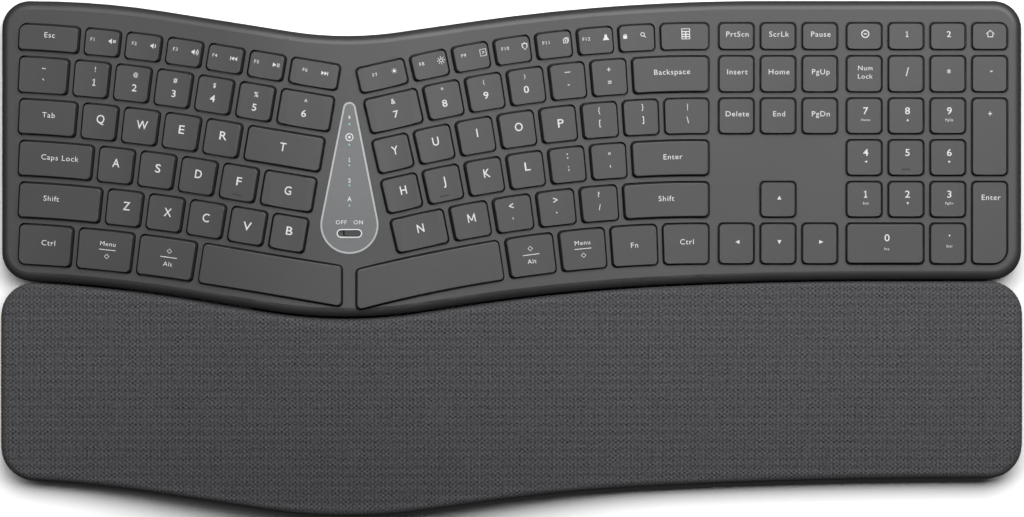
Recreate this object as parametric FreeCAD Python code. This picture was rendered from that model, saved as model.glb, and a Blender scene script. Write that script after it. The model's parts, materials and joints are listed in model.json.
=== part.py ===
import FreeCAD, Part
import os
from math import asin, atan, cos, pi, radians, sin, tan

from FreeCAD import Rotation, Vector

# Split ergonomic keyboard with an arched key field and an upholstered palm rest.
# Millimetres. +X runs to the right, +Y to the back, +Z up. The origin is under the
# middle of the whole outline, on the desk.

# Overall outline, seen from above
CASE_HALF_WIDTH = 232.3
PALM_HALF_WIDTH = 232.8
REAR_Y = 117.3
REAR_CORNER_R = 12.6
CASE_FRONT_CORNER_R = 13.0
PALM_REAR_CORNER_R = 15.0
PALM_FRONT_CORNER_R = 15.4
# The rear edge dips forward in the middle: place in X, depth behind REAR_Y, radius
REAR_DIP = [(-188.8, 0.0, 380.0), (-76.1, 18.1, 160.0), (48.3, 0.0, 900.0)]
# The seam between case and palm rest, and the front edge: X, Y and radius of each bend
SEAM_LEFT_Y = -10.3
SEAM_RIGHT_Y = -10.5
SEAM_BENDS = [(-178.6, -13.5, 700.0), (-76.3, -30.1, 221.0), (24.8, -14.9, 924.0), (123.5, -10.5, 1950.0)]
FRONT_LEFT_Y = -100.4
FRONT_RIGHT_Y = -100.2
FRONT_BENDS = [(-189.8, -102.9, 590.0), (-76.5, -119.9, 250.0), (27.7, -105.5, 842.0), (152.2, -100.2, 2800.0)]
SEAM_GAP = 0.9

# Height profile of the case's upper surface, the same all along Y
CREST_X = -74.0
CREST_Z = 45.0
RIDGE_R = 240.0
LEFT_TILT = 13.5
RIGHT_TILT = 12.5
VALLEY_R = 240.0
FLAT_Z = 20.3

# Case shells
EDGE_ROUND = 4.0
TOP_WALL = 2.4
SIDE_WALL = 2.4
PARTING_Z = 6.0
LIP_WALL = 1.0
LIP_DEPTH = 1.4
LIP_CLEARANCE = 0.1
FOOT_HEIGHT = 1.8
FLOOR_THICKNESS = 2.2
RIB_WALL = 1.6
RIB_DROP = 0.9
RIB_Y = [88.0, 40.0, 6.0]
CROSS_RIB_X = [-180.0, -125.0, -20.0, 65.0, 165.0]

# Key field
WEB = 1.8
KEY_GAP = 0.55
ROW_TOP_Y = 108.6
ROW_HEIGHTS = [15.0, 19.3, 19.0, 19.0, 19.0, 21.3]
LEFT_FIELD_X = -225.7
RIGHT_FIELD_X = 91.2
LEFT_UNIT = 18.72
RIGHT_UNIT = 18.78
WIDE_UNIT = 19.5
NAV_X = 92.9
NAV_PITCH = 19.0
PAD_X = 151.1
PAD_PITCH = 19.05
# How far each row sags towards the split: straight near the split, round further out
LEFT_SAG_X = -132.6
LEFT_SAG = 10.15
LEFT_SAG_SLOPE = 0.168
LEFT_SAG_R = 797.0
RIGHT_SAG_X = 88.0
RIGHT_SAG_SLOPE = 0.23
RIGHT_SAG_R = 583.0

# Key caps, heights measured square to the case's surface
CAP_TOP = 2.2
CAP_BOTTOM = -1.4
CAP_RIM = 0.4
CAP_TAPER = 0.4
CAP_CORNER_R = 1.9
CAP_INNER_CORNER_R = 0.95
CAP_WALL = 1.2
CAP_ROOF = 1.5
DISH_DEPTH = 0.3
DISH_MAX_WIDTH = 28.0
KEY_TRAVEL = 1.8
HOLE_CORNER_R = 2.4
CORNER_KEY_R = 5.0
PAD_ENTER_R = 8.0

# Key mechanism
MEMBRANE_CLEARANCE = 0.4
MEMBRANE_THICKNESS = 0.3
PLATE_THICKNESS = 0.8
PLATE_INSET = 5.6
MEMBRANE_INSET = 6.0
DOME_FOOT_R = 2.9
DOME_TOP_R = 1.6
DOME_WALL = 0.5
DOME_SEAT = 0.04
LINK_LENGTH = 10.0
LINK_OUTER_WIDTH = 11.2
LINK_BAR = 0.9
LINK_GAP = 0.2
LINK_THICKNESS = 0.8
SEAT_CLEARANCE = 0.15
BAR_WIRE_R = 0.4
BAR_END_INSET = 6.0
BAR_HALF_MAX = 13.0
BAR_WALL_GAP = 0.3
BAR_LEG = 4.4
BAR_LEVEL = -0.6
STABILISED_KEYS = ["caps_lock", "left_shift", "t", "left_space", "right_space", "backspace", "enter",
                   "right_shift", "pad_0", "pad_plus", "pad_enter"]
TALL_KEYS = ["pad_plus", "pad_enter"]
STAKE_R = 0.8
STAKE_HEAD_R = 1.5
STAKE_HEAD = 0.6
STAKE_SEAT = 0.03
STAKE_CLEARANCE = 0.1
STAKE_KEYS = ["f1", "f3", "f5", "2", "4", "6", "w", "r", "s", "f", "x", "v", "left_alt", "f8", "f10",
              "f12", "8", "0", "equals", "u", "o", "bracket_left", "k", "semicolon", "comma", "slash",
              "right_menu", "home", "end", "pad_8", "pad_5", "pad_2", "pad_9", "pad_3"]

# Screws that hold the plate down on the bottom case's posts
SCREW_R = 1.25
SCREW_HEAD_R = 2.8
SCREW_HEAD = 1.8
SCREW_LAND = 3.0
SCREW_CLEARANCE = 0.35
THREAD_CLEARANCE = 0.05
POST_R = 4.4
POSTS = [(-205.0, 98.0), (-205.0, 6.0), (-140.0, 76.0), (-145.0, 4.0), (-20.0, 82.0), (-5.0, 6.0),
         (36.0, 98.0), (50.0, 6.0), (120.0, 98.0), (120.0, 10.0), (215.0, 98.0), (215.0, 6.0)]

# Indicator panel between the halves
PANEL_X = -73.6
PANEL_TIP_Y = 71.1
PANEL_FOOT_Y = 1.9
PANEL_TIP_R = 3.0
PANEL_FOOT_R = 13.3
PANEL_THICKNESS = 1.2
PANEL_PROUD = 0.1
PANEL_CLEARANCE = 0.12
LENS_Y = [60.9, 51.5, 42.2, 33.1, 24.0]
LENS_R = 0.5
LENS_CLEARANCE = 0.08
WINDOW_HALF_WIDTH = 7.2
WINDOW_MARGIN = 4.0
SLOT_Y = 11.3
SLOT_LENGTH = 10.5
SLOT_WIDTH = 2.9
KNOB_LENGTH = 7.2
KNOB_END_CLEARANCE = 0.25
KNOB_SIDE_CLEARANCE = 0.3
KNOB_PROUD = 0.5
STEM_LENGTH = 2.4
STEM_WIDTH = 1.2
STEM_REACH = 2.2
SWITCH_LENGTH = 12.0
SWITCH_WIDTH = 6.0
SWITCH_HEIGHT = 4.0
LED_BOARD_HALF_WIDTH = 4.5
LED_BOARD_THICKNESS = 1.0
LED_SIZE = (1.6, 0.9, 0.4)
LED_BOARD_TOP = 3.8
LED_BOARD_END = 4.5
LED_PEG_OFFSET = 3.0
LENS_FOOT = 3.3
GRIP_PITCH = 1.2
GRIP_WIDTH = 0.5
GRIP_DEPTH = 0.25

# Battery bay under the ridge
BAY_X = -76.0
BAY_Y = 62.0
CELL_R = 5.25
CELL_LENGTH = 44.5
CELL_NUB_R = 1.9
CELL_NUB = 0.9
CELL_GAP = 1.0
BAY_END_ROOM = 3.4
BAY_WALL = 1.6
DOOR_THICKNESS = 1.4
DOOR_GAP = 0.3
DOOR_LEDGE = 2.0
DOOR_BARREL_R = 1.4
DOOR_PIN_R = 0.6
DOOR_PIN_CLEARANCE = 0.06
DOOR_PIN_LENGTH = 1.6
DOOR_CORNER_R = 2.5
DOOR_GRIP_START = 4.0
DOOR_GRIP_PITCH = 1.4
DOOR_GRIP_HALF = 8.0
SPRING_R = 2.6
SPRING_WIRE_R = 0.3
SPRING_TURNS = 3
SPRING_END_GAP = 0.1
CONTACT_THICKNESS = 0.4
CONTACT_SIZE = 8.4

# Main board and its ribbon
BOARD_X = 76.0
BOARD_Y = 47.0
BOARD_SIZE = (76.0, 34.0, 1.6)
BOARD_STANDOFF = 3.2
STANDOFF_R = 2.4
RIBBON_X = 70.0
RIBBON_WIDTH = 18.0
RIBBON_THICKNESS = 0.3
RIBBON_BEND_R = 2.0
RIBBON_SLOT = 2.0
CHIPS = [(14.0, 12.0, 9.0, 9.0, 1.2), (36.0, 16.0, 6.0, 6.0, 0.9), (54.0, 6.0, 12.0, 16.0, 1.8)]
CONNECTOR_SIZE = (5.0, 20.0, 2.4)

# Palm rest
PALM_BASE_THICKNESS = 4.2
PALM_EDGE_INSET = 0.8
PALM_DROP = 3.0
PALM_FRONT_Z = 13.0
PALM_FRONT_RISE = 0.3
PALM_CROWN = 3.5
PALM_DIP = 17.5
PALM_EDGE_ROUND = 3.6
PALM_BOTTOM_ROUND = 0.8
COVER_THICKNESS = 1.0
TONGUE_WIDTH = 16.0
TONGUE_REACH = 14.0
TONGUE_CLEARANCE = 0.2
TONGUE_SCREW_INSET = 5.0
TONGUE_X = [-190.0, -110.0, 30.0, 190.0]
TONGUE_THICKNESS = 1.9
TONGUE_ROOT = 8.0
TONGUE_HEAD_ROOM = 1.4
TONGUE_HEAD = 1.2
PALM_RIM = 3.0
PALM_POCKET = 2.0
PALM_RIB_PITCH = 46.0
PALM_OVERHANG = 4.0
HOUSING_CLEARANCE = 0.3
CROWN_REACH = 260.0
CROWN_SLICES = 21

# Tilt legs under the palm rest
LEG_X = {"left_tilt_leg": -150.0, "right_tilt_leg": 125.0}
LEG_AXIS_Y = -88.0
LEG_WIDTH = 40.0
LEG_LENGTH = 24.0
LEG_THICKNESS = 4.2
LEG_BARREL_R = 2.4
LEG_PIN_R = 1.2
LEG_PIN_CLEARANCE = 0.05
LEG_GAP = 0.6
LEG_HOUSING_WALL = 2.4
LEG_PIN_SEAT = 2.0
LEG_FINGER_ROOM = 7.0
LEG_ROOF = 1.2
LEG_WALL = 1.6
LEG_CORNER_R = 4.0

# Rubber feet: X, Y of each pad's middle
FOOT_LENGTH = 26.0
FOOT_WIDTH = 8.0
CASE_FEET = [(-170.0, 104.0), (0.0, 100.0), (175.0, 106.0)]
PALM_FEET = [(-205.0, -60.0), (-76.0, -98.0), (60.0, -80.0), (205.0, -60.0)]

FAR = 300.0
OVERCUT = 2.0
# How far a cap's blank runs past its two faces before the curved layer trims it
CAP_REACH = 6.0

# Levels below the surface, all from the sizes above
PRESSED_SKIRT = CAP_BOTTOM - KEY_TRAVEL
MEMBRANE_TOP = PRESSED_SKIRT - MEMBRANE_CLEARANCE
PLATE_TOP = MEMBRANE_TOP - MEMBRANE_THICKNESS
PLATE_BOTTOM = PLATE_TOP - PLATE_THICKNESS
CAP_CEILING = CAP_TOP - CAP_ROOF
FLOOR_TOP = FOOT_HEIGHT + FLOOR_THICKNESS
PALM_BASE_TOP = FOOT_HEIGHT + PALM_BASE_THICKNESS


# Surface of the case

def section_stations():
    """X of the four places where the profile turns from straight to round or back."""
    ridge_start = CREST_X - RIDGE_R * sin(radians(LEFT_TILT))
    ridge_end = CREST_X + RIDGE_R * sin(radians(RIGHT_TILT))
    ridge_end_z = CREST_Z - RIDGE_R * (1 - cos(radians(RIGHT_TILT)))
    valley_start_z = FLAT_Z + VALLEY_R * (1 - cos(radians(RIGHT_TILT)))
    valley_start = ridge_end + (ridge_end_z - valley_start_z) / tan(radians(RIGHT_TILT))
    valley_end = valley_start + VALLEY_R * sin(radians(RIGHT_TILT))
    return ridge_start, ridge_end, valley_start, valley_end


def surface(x):
    """Height and slope angle, in radians, of the case's upper surface at a place in X."""
    ridge_start, ridge_end, valley_start, valley_end = section_stations()
    if x <= ridge_start:
        start_z = CREST_Z - RIDGE_R * (1 - cos(radians(LEFT_TILT)))
        return start_z + (x - ridge_start) * tan(radians(LEFT_TILT)), radians(LEFT_TILT)
    if x <= ridge_end:
        slope = asin((CREST_X - x) / RIDGE_R)
        return CREST_Z - RIDGE_R * (1 - cos(slope)), slope
    if x <= valley_start:
        end_z = CREST_Z - RIDGE_R * (1 - cos(radians(RIGHT_TILT)))
        return end_z - (x - ridge_end) * tan(radians(RIGHT_TILT)), -radians(RIGHT_TILT)
    if x <= valley_end:
        slope = -asin((valley_end - x) / VALLEY_R)
        return FLAT_Z + VALLEY_R * (1 - cos(slope)), slope
    return FLAT_Z, 0.0


def surface_point(x, height=0.0, y=0.0):
    """A point over the place x, at a height measured square to the surface."""
    z, slope = surface(x)
    return Vector(x - height * sin(slope), y, z + height * cos(slope))


def section_edges(height):
    """The profile moved square to itself by height, from far left to far right."""
    ridge_start, ridge_end, valley_start, valley_end = section_stations()
    left = surface_point(-FAR, height)
    points = [surface_point(x, height) for x in (ridge_start, CREST_X, ridge_end, valley_start)]
    middle = surface_point((valley_start + valley_end) / 2, height)
    end = surface_point(valley_end, height)
    right = surface_point(FAR, height)
    return [Part.makeLine(left, points[0]),
            Part.Arc(points[0], points[1], points[2]).toShape(),
            Part.makeLine(points[2], points[3]),
            Part.Arc(points[3], middle, end).toShape(),
            Part.makeLine(end, right)]


def layer(low, high):
    """A sheet between two heights over the surface, wider and deeper than the case."""
    upper = section_edges(high)
    lower = section_edges(low)
    left = Part.makeLine(upper[0].Vertexes[0].Point, lower[0].Vertexes[0].Point)
    right = Part.makeLine(upper[-1].Vertexes[-1].Point, lower[-1].Vertexes[-1].Point)
    return extrude_section(upper + [right] + lower + [left])


def block_under(height, bottom_z):
    """Everything between a flat level and the surface moved by height."""
    upper = section_edges(height)
    left_top = upper[0].Vertexes[0].Point
    right_top = upper[-1].Vertexes[-1].Point
    left_low = Vector(left_top.x, 0, bottom_z)
    right_low = Vector(right_top.x, 0, bottom_z)
    closing = [Part.makeLine(right_top, right_low), Part.makeLine(right_low, left_low),
               Part.makeLine(left_low, left_top)]
    return extrude_section(upper + closing)


def extrude_section(edges):
    """A closed profile in the XZ plane, drawn out to both sides of it along Y."""
    face = Part.Face(Part.Wire(Part.__sortEdges__(edges)))
    face.translate(Vector(0, -FAR, 0))
    return face.extrude(Vector(0, 2 * FAR, 0))


# Outlines

def rounded_polygon(corners):
    """A closed wire at z = 0 from corners of (x, y, radius), with tangent arcs."""
    count = len(corners)
    arcs = []
    for i, (x, y, radius) in enumerate(corners):
        here = Vector(x, y, 0)
        back = Vector(*corners[i - 1][:2], 0) - here
        on = Vector(*corners[(i + 1) % count][:2], 0) - here
        back.normalize()
        on.normalize()
        half = back.getAngle(on) / 2
        run = radius / tan(half)
        bisector = back + on
        bisector.normalize()
        middle = here + bisector * (radius / sin(half) - radius)
        arcs.append((here + back * run, middle, here + on * run))
    edges = []
    for i, (start, middle, end) in enumerate(arcs):
        edges.append(Part.Arc(start, middle, end).toShape())
        following = arcs[(i + 1) % count][0]
        if (following - end).Length > 1e-6:
            edges.append(Part.makeLine(end, following))
    return Part.Wire(edges)


def case_outline(inset=0.0):
    """The case from above: dipped rear edge, seam edge at the front."""
    w = CASE_HALF_WIDTH
    corners = [(-w, REAR_Y, REAR_CORNER_R)]
    corners += [(x, REAR_Y - dip, radius) for x, dip, radius in REAR_DIP]
    corners += [(w, REAR_Y, REAR_CORNER_R), (w, SEAM_RIGHT_Y + SEAM_GAP, CASE_FRONT_CORNER_R)]
    corners += [(x, y + SEAM_GAP, radius) for x, y, radius in reversed(SEAM_BENDS)]
    corners += [(-w, SEAM_LEFT_Y + SEAM_GAP, CASE_FRONT_CORNER_R)]
    return inset_wire(rounded_polygon(corners), inset)


def palm_outline(inset=0.0):
    """The palm rest from above: its rear edge follows the seam."""
    w = PALM_HALF_WIDTH
    corners = [(-w, SEAM_LEFT_Y, PALM_REAR_CORNER_R)]
    corners += list(SEAM_BENDS)
    corners += [(w, SEAM_RIGHT_Y, PALM_REAR_CORNER_R), (w, FRONT_RIGHT_Y, PALM_FRONT_CORNER_R)]
    corners += list(reversed(FRONT_BENDS))
    corners += [(-w, FRONT_LEFT_Y, PALM_FRONT_CORNER_R)]
    return inset_wire(rounded_polygon(corners), inset)


def inset_wire(wire, inset):
    """The wire moved inwards by inset."""
    return wire.makeOffset2D(-inset) if inset else wire


def prism(wire, low_z, high_z):
    """A flat outline at z = 0 drawn up between two levels."""
    face = Part.Face(wire)
    face.translate(Vector(0, 0, low_z))
    return face.extrude(Vector(0, 0, high_z - low_z))


def box(x0, y0, z0, x1, y1, z1):
    """A box between two corners."""
    return Part.makeBox(x1 - x0, y1 - y0, z1 - z0, Vector(x0, y0, z0))


def cylinder_z(x, y, radius, low_z, high_z):
    """An upright cylinder between two levels."""
    return Part.makeCylinder(radius, high_z - low_z, Vector(x, y, low_z))


def cylinder_x(x0, x1, y, z, radius):
    """A cylinder along X."""
    return Part.makeCylinder(radius, x1 - x0, Vector(x0, y, z), Vector(1, 0, 0))


def stadium(length, width):
    """A slot outline around the origin, longer along X."""
    half = (length - width) / 2
    r = width / 2
    return Part.Wire([Part.makeLine(Vector(-half, r, 0), Vector(half, r, 0)),
                      Part.Arc(Vector(half, r, 0), Vector(half + r, 0, 0), Vector(half, -r, 0)).toShape(),
                      Part.makeLine(Vector(half, -r, 0), Vector(-half, -r, 0)),
                      Part.Arc(Vector(-half, -r, 0), Vector(-half - r, 0, 0), Vector(-half, r, 0)).toShape()])


def frame_at(x, y):
    """A placement whose local Z is square to the surface over the place x, y."""
    z, slope = surface(x)
    return FreeCAD.Placement(Vector(x, y, z), Rotation(Vector(0, 1, 0), -slope * 180 / pi))


def placed(shape, placement):
    """A copy of a shape drawn around the origin, set at a placement."""
    copy = shape.copy()
    copy.Placement = placement.multiply(copy.Placement)
    return copy


def fused(shapes):
    """Several shapes that touch, as one."""
    return shapes[0].multiFuse(shapes[1:]).removeSplitter() if len(shapes) > 1 else shapes[0]


# Key field

def sag(x):
    """How far a row lies in front of its straight place, and the slope of that."""
    if x < LEFT_SAG_X:
        out = LEFT_SAG_X - x
        return LEFT_SAG - LEFT_SAG_SLOPE * out + out ** 2 / (2 * LEFT_SAG_R), LEFT_SAG_SLOPE - out / LEFT_SAG_R
    if x < CREST_X:
        return LEFT_SAG + LEFT_SAG_SLOPE * (x - LEFT_SAG_X), LEFT_SAG_SLOPE
    bend_end = RIGHT_SAG_X - RIGHT_SAG_SLOPE * RIGHT_SAG_R
    if x < bend_end:
        return RIGHT_SAG_SLOPE ** 2 * RIGHT_SAG_R / 2 + RIGHT_SAG_SLOPE * (bend_end - x), -RIGHT_SAG_SLOPE
    if x < RIGHT_SAG_X:
        return (RIGHT_SAG_X - x) ** 2 / (2 * RIGHT_SAG_R), -(RIGHT_SAG_X - x) / RIGHT_SAG_R
    return 0.0, 0.0


def row_line(index):
    """Y of the line behind row index, where the rows are straight."""
    return ROW_TOP_Y - sum(ROW_HEIGHTS[:index])


LEFT_ROWS = [
    [("esc", 30.3), ("f1", LEFT_UNIT), ("f2", LEFT_UNIT), ("f3", LEFT_UNIT), ("f4", LEFT_UNIT),
     ("f5", LEFT_UNIT), ("f6", 24.8)],
    [("grave", 25.3), ("1", LEFT_UNIT), ("2", LEFT_UNIT), ("3", LEFT_UNIT), ("4", LEFT_UNIT),
     ("5", LEFT_UNIT), ("6", 26.7)],
    [("tab", 29.0), ("q", LEFT_UNIT), ("w", LEFT_UNIT), ("e", LEFT_UNIT), ("r", LEFT_UNIT), ("t", 37.3)],
    [("caps_lock", 36.5), ("a", LEFT_UNIT), ("s", LEFT_UNIT), ("d", LEFT_UNIT), ("f", LEFT_UNIT), ("g", 26.2)],
    [("left_shift", 40.3), ("z", LEFT_UNIT), ("x", LEFT_UNIT), ("c", LEFT_UNIT), ("v", LEFT_UNIT),
     ("b", LEFT_UNIT)],
    [("left_ctrl", 27.1), ("left_menu", 27.7), ("left_alt", 28.3), ("left_space", 66.7)],
]
# From the outer end towards the split
RIGHT_ROWS = [
    [("calculator", 24.8), ("lock", 19.1), ("f12", RIGHT_UNIT), ("f11", RIGHT_UNIT), ("f10", RIGHT_UNIT),
     ("f9", RIGHT_UNIT), ("f8", RIGHT_UNIT), ("f7", 24.4)],
    [("backspace", 37.6), ("equals", RIGHT_UNIT), ("minus", RIGHT_UNIT), ("0", RIGHT_UNIT),
     ("9", RIGHT_UNIT), ("8", RIGHT_UNIT), ("7", 26.6)],
    [("backslash", 23.0), ("bracket_right", RIGHT_UNIT), ("bracket_left", RIGHT_UNIT), ("p", RIGHT_UNIT),
     ("o", RIGHT_UNIT), ("i", RIGHT_UNIT), ("u", RIGHT_UNIT), ("y", RIGHT_UNIT)],
    [("enter", 37.8), ("quote", RIGHT_UNIT), ("semicolon", RIGHT_UNIT), ("l", RIGHT_UNIT),
     ("k", RIGHT_UNIT), ("j", RIGHT_UNIT), ("h", RIGHT_UNIT)],
    [("right_shift", 41.7), ("slash", WIDE_UNIT), ("period", WIDE_UNIT), ("comma", WIDE_UNIT),
     ("m", WIDE_UNIT), ("n", 26.4)],
    [("right_ctrl", 23.6), ("fn", 23.6), ("right_menu", 23.3), ("right_alt", 23.9), ("right_space", 68.3)],
]
# Column, row, columns wide, rows tall
NAV_KEYS = {"print": (0, 0, 1, 1), "scroll": (1, 0, 1, 1), "pause": (2, 0, 1, 1),
            "insert": (0, 1, 1, 1), "home": (1, 1, 1, 1), "page_up": (2, 1, 1, 1),
            "delete": (0, 2, 1, 1), "end": (1, 2, 1, 1), "page_down": (2, 2, 1, 1),
            "up": (1, 4, 1, 1), "left": (0, 5, 1, 1), "down": (1, 5, 1, 1), "right": (2, 5, 1, 1)}
PAD_KEYS = {"pad_ring": (0, 0, 1, 1), "pad_host_1": (1, 0, 1, 1), "pad_host_2": (2, 0, 1, 1),
            "pad_screen": (3, 0, 1, 1), "num_lock": (0, 1, 1, 1), "pad_divide": (1, 1, 1, 1),
            "pad_multiply": (2, 1, 1, 1), "pad_minus": (3, 1, 1, 1), "pad_7": (0, 2, 1, 1),
            "pad_8": (1, 2, 1, 1), "pad_9": (2, 2, 1, 1), "pad_plus": (3, 2, 1, 2), "pad_4": (0, 3, 1, 1),
            "pad_5": (1, 3, 1, 1), "pad_6": (2, 3, 1, 1), "pad_1": (0, 4, 1, 1), "pad_2": (1, 4, 1, 1),
            "pad_3": (2, 4, 1, 1), "pad_enter": (3, 4, 1, 2), "pad_0": (0, 5, 2, 1), "pad_dot": (2, 5, 1, 1)}
# Corners rounder than the rest: rear left, rear right, front right, front left
ROUND_CORNERS = {"esc": (CORNER_KEY_R, 0, 0, 0), "left_ctrl": (0, 0, 0, CORNER_KEY_R),
                 "pad_screen": (0, CORNER_KEY_R, 0, 0), "pad_enter": (0, 0, PAD_ENTER_R, 0)}
# Ends that stand straight, along Y, beside the split
STRAIGHT_ENDS = {"left_space": "right", "right_space": "left"}
KEY_NODES = {
    "esc_key": ["esc"], "tab_key": ["tab"], "caps_lock_key": ["caps_lock"], "left_shift_key": ["left_shift"],
    "left_ctrl_key": ["left_ctrl"], "left_space_bar": ["left_space"], "right_space_bar": ["right_space"],
    "enter_key": ["enter"], "backspace_key": ["backspace"], "right_shift_key": ["right_shift"],
    "up_arrow_key": ["up"], "down_arrow_key": ["down"], "left_arrow_key": ["left"],
    "right_arrow_key": ["right"], "pad_plus_key": ["pad_plus"], "pad_enter_key": ["pad_enter"],
    "pad_zero_key": ["pad_0"],
    "column_1_keys": ["grave", "f1", "1", "q", "a", "z"], "column_2_keys": ["f2", "2", "w", "s", "x"],
    "column_3_keys": ["f3", "3", "e", "d", "c"], "column_4_keys": ["f4", "4", "r", "f", "v"],
    "column_5_keys": ["f5", "5", "t", "g", "b"], "column_6_keys": ["f6", "6"],
    "column_7_keys": ["f7", "7", "y", "h", "n"], "column_8_keys": ["f8", "8", "u", "j", "m"],
    "column_9_keys": ["f9", "9", "i", "k", "comma"], "column_10_keys": ["f10", "0", "o", "l", "period"],
    "column_11_keys": ["f11", "minus", "p", "semicolon", "slash"],
    "column_12_keys": ["f12", "equals", "bracket_left", "bracket_right", "quote"],
    "right_edge_keys": ["lock", "calculator", "backslash"], "left_modifier_keys": ["left_menu", "left_alt"],
    "right_modifier_keys": ["right_alt", "right_menu", "fn", "right_ctrl"],
    "navigation_keys": ["print", "scroll", "pause", "insert", "home", "page_up", "delete", "end", "page_down"],
    "pad_top_keys": ["pad_ring", "pad_host_1", "pad_host_2", "pad_screen", "num_lock", "pad_divide",
                     "pad_multiply", "pad_minus"],
    "pad_digit_keys": ["pad_1", "pad_2", "pad_3", "pad_4", "pad_5", "pad_6", "pad_7", "pad_8", "pad_9",
                       "pad_dot"],
}


class KeyCell:
    """The place of one key: its share of the key field, seen from above."""

    def __init__(self, name, x0, x1, rear_y, front_y):
        self.name = name
        self.x0 = x0
        self.x1 = x1
        self.rear_y = rear_y
        self.front_y = front_y
        self.x = (x0 + x1) / 2
        self.y = (rear_y + front_y) / 2 - sag(self.x)[0]
        self.placement = frame_at(self.x, self.y)
        self.slope = surface(self.x)[1]
        self.turn = -atan(sag(self.x)[1])
        self.width = (x1 - x0) / cos(self.turn)
        self.depth = (rear_y - front_y) * cos(self.turn)

    def flat(self, x, y):
        """A place seen from above, in the key's own plane."""
        return Vector((x - self.x) / cos(self.slope), y - self.y, 0)

    def side(self, x, straight):
        """The rear and front corner of the side at x, square to the row unless straight."""
        middle = (self.rear_y + self.front_y) / 2
        half = (self.rear_y - self.front_y) / 2
        lag, slope = sag(x)
        if straight:
            return Vector(x, middle - lag + half, 0), Vector(x, middle - lag - half, 0)
        turn = -atan(slope)
        lean = half * cos(turn) * sin(turn)
        rise = half * cos(turn) ** 2
        return Vector(x - lean, middle - lag + rise, 0), Vector(x + lean, middle - lag - rise, 0)

    def corners(self):
        """Rear left, rear right, front right and front left corner, in the key's plane."""
        end = STRAIGHT_ENDS.get(self.name)
        rear_left, front_left = self.side(self.x0, end == "left")
        rear_right, front_right = self.side(self.x1, end == "right")
        return [self.flat(p.x, p.y) for p in (rear_left, rear_right, front_right, front_left)]

    def bulge(self):
        """How far the row's curve leaves the straight line between the cell's ends."""
        ends = (sag(self.x0)[0] + sag(self.x1)[0]) / 2
        return ends - sag(self.x)[0]

    def outline(self, inset, height, corner_r):
        """The cell drawn in by inset, as a rounded wire at a height in the key's frame."""
        corners = self.corners()
        rounding = [max(corner_r, special - inset) if special else corner_r
                    for special in ROUND_CORNERS.get(self.name, (0, 0, 0, 0))]
        inner = []
        count = len(corners)
        for i in range(count):
            inner.append(inset_corner(corners[i - 1], corners[i], corners[(i + 1) % count], inset))
        arcs = []
        for i in range(count):
            arcs.append(corner_arc(inner[i - 1], inner[i], inner[(i + 1) % count], rounding[i]))
        bow = Vector(0, self.bulge(), 0)
        edges = []
        for i in range(count):
            start = arcs[i]
            following = arcs[(i + 1) % count]
            edges.append(Part.Arc(*start).toShape())
            along_row = i % 2 == 0
            if along_row and bow.Length > 0.04:
                middle = (start[2] + following[0]) / 2 + bow
                edges.append(Part.Arc(start[2], middle, following[0]).toShape())
            else:
                edges.append(Part.makeLine(start[2], following[0]))
        wire = Part.Wire(edges)
        wire.translate(Vector(0, 0, height))
        return wire


def inset_corner(before, here, after, inset):
    """The corner of a clockwise outline after both its sides have moved inwards."""
    back = (before - here).normalize()
    on = (after - here).normalize()
    half = back.getAngle(on) / 2
    return here + (back + on).normalize() * (inset / sin(half))


def corner_arc(before, here, after, radius):
    """Start, middle and end of the arc that rounds a corner."""
    back = (before - here).normalize()
    on = (after - here).normalize()
    half = back.getAngle(on) / 2
    run = radius / tan(half)
    middle = here + (back + on).normalize() * (radius / sin(half) - radius)
    return here + back * run, middle, here + on * run


def key_cells():
    """Every key's cell by name."""
    cells = {}
    for row, keys in enumerate(LEFT_ROWS):
        x = LEFT_FIELD_X
        for name, width in keys:
            cells[name] = KeyCell(name, x, x + width, row_line(row), row_line(row + 1))
            x += width
    for row, keys in enumerate(RIGHT_ROWS):
        x = RIGHT_FIELD_X
        for name, width in keys:
            cells[name] = KeyCell(name, x - width, x, row_line(row), row_line(row + 1))
            x -= width
    for block, start, pitch in ((NAV_KEYS, NAV_X, NAV_PITCH), (PAD_KEYS, PAD_X, PAD_PITCH)):
        for name, (column, row, columns, rows) in block.items():
            left = start + column * pitch
            cells[name] = KeyCell(name, left, left + columns * pitch, row_line(row), row_line(row + rows))
    return cells


def key_hole(cell):
    """The opening in the top case for one key, as a cutting tool."""
    low = -TOP_WALL - 2 * OVERCUT
    face = Part.Face(cell.outline(WEB / 2, low, HOLE_CORNER_R))
    return placed(face.extrude(Vector(0, 0, OVERCUT - low)), cell.placement)


def cap_inset(height):
    """How far a cap's side lies inside its cell at a height: the sides lean in."""
    return WEB / 2 + KEY_GAP + CAP_TAPER * (height - CAP_BOTTOM) / (CAP_TOP - CAP_BOTTOM)


def rim_edges(shape):
    """The edges around a cap's upper face."""
    chosen = []
    for edge in shape.Edges:
        middle = edge.valueAt((edge.FirstParameter + edge.LastParameter) / 2)
        z, slope = surface(middle.x)
        level = (middle.z - z) * cos(slope)
        if level < CAP_TOP - CAP_RIM:
            continue
        upward = [face for face in shape.ancestorsOfType(edge, Part.Face) if is_upward(face, edge)]
        if len(upward) == 1:
            chosen.append(edge)
    return chosen


def is_upward(face, edge):
    """Whether a face looks mostly up, where an edge borders it."""
    middle = edge.valueAt((edge.FirstParameter + edge.LastParameter) / 2)
    return face.normalAt(*face.Surface.parameter(middle)).z > 0.7


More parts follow.
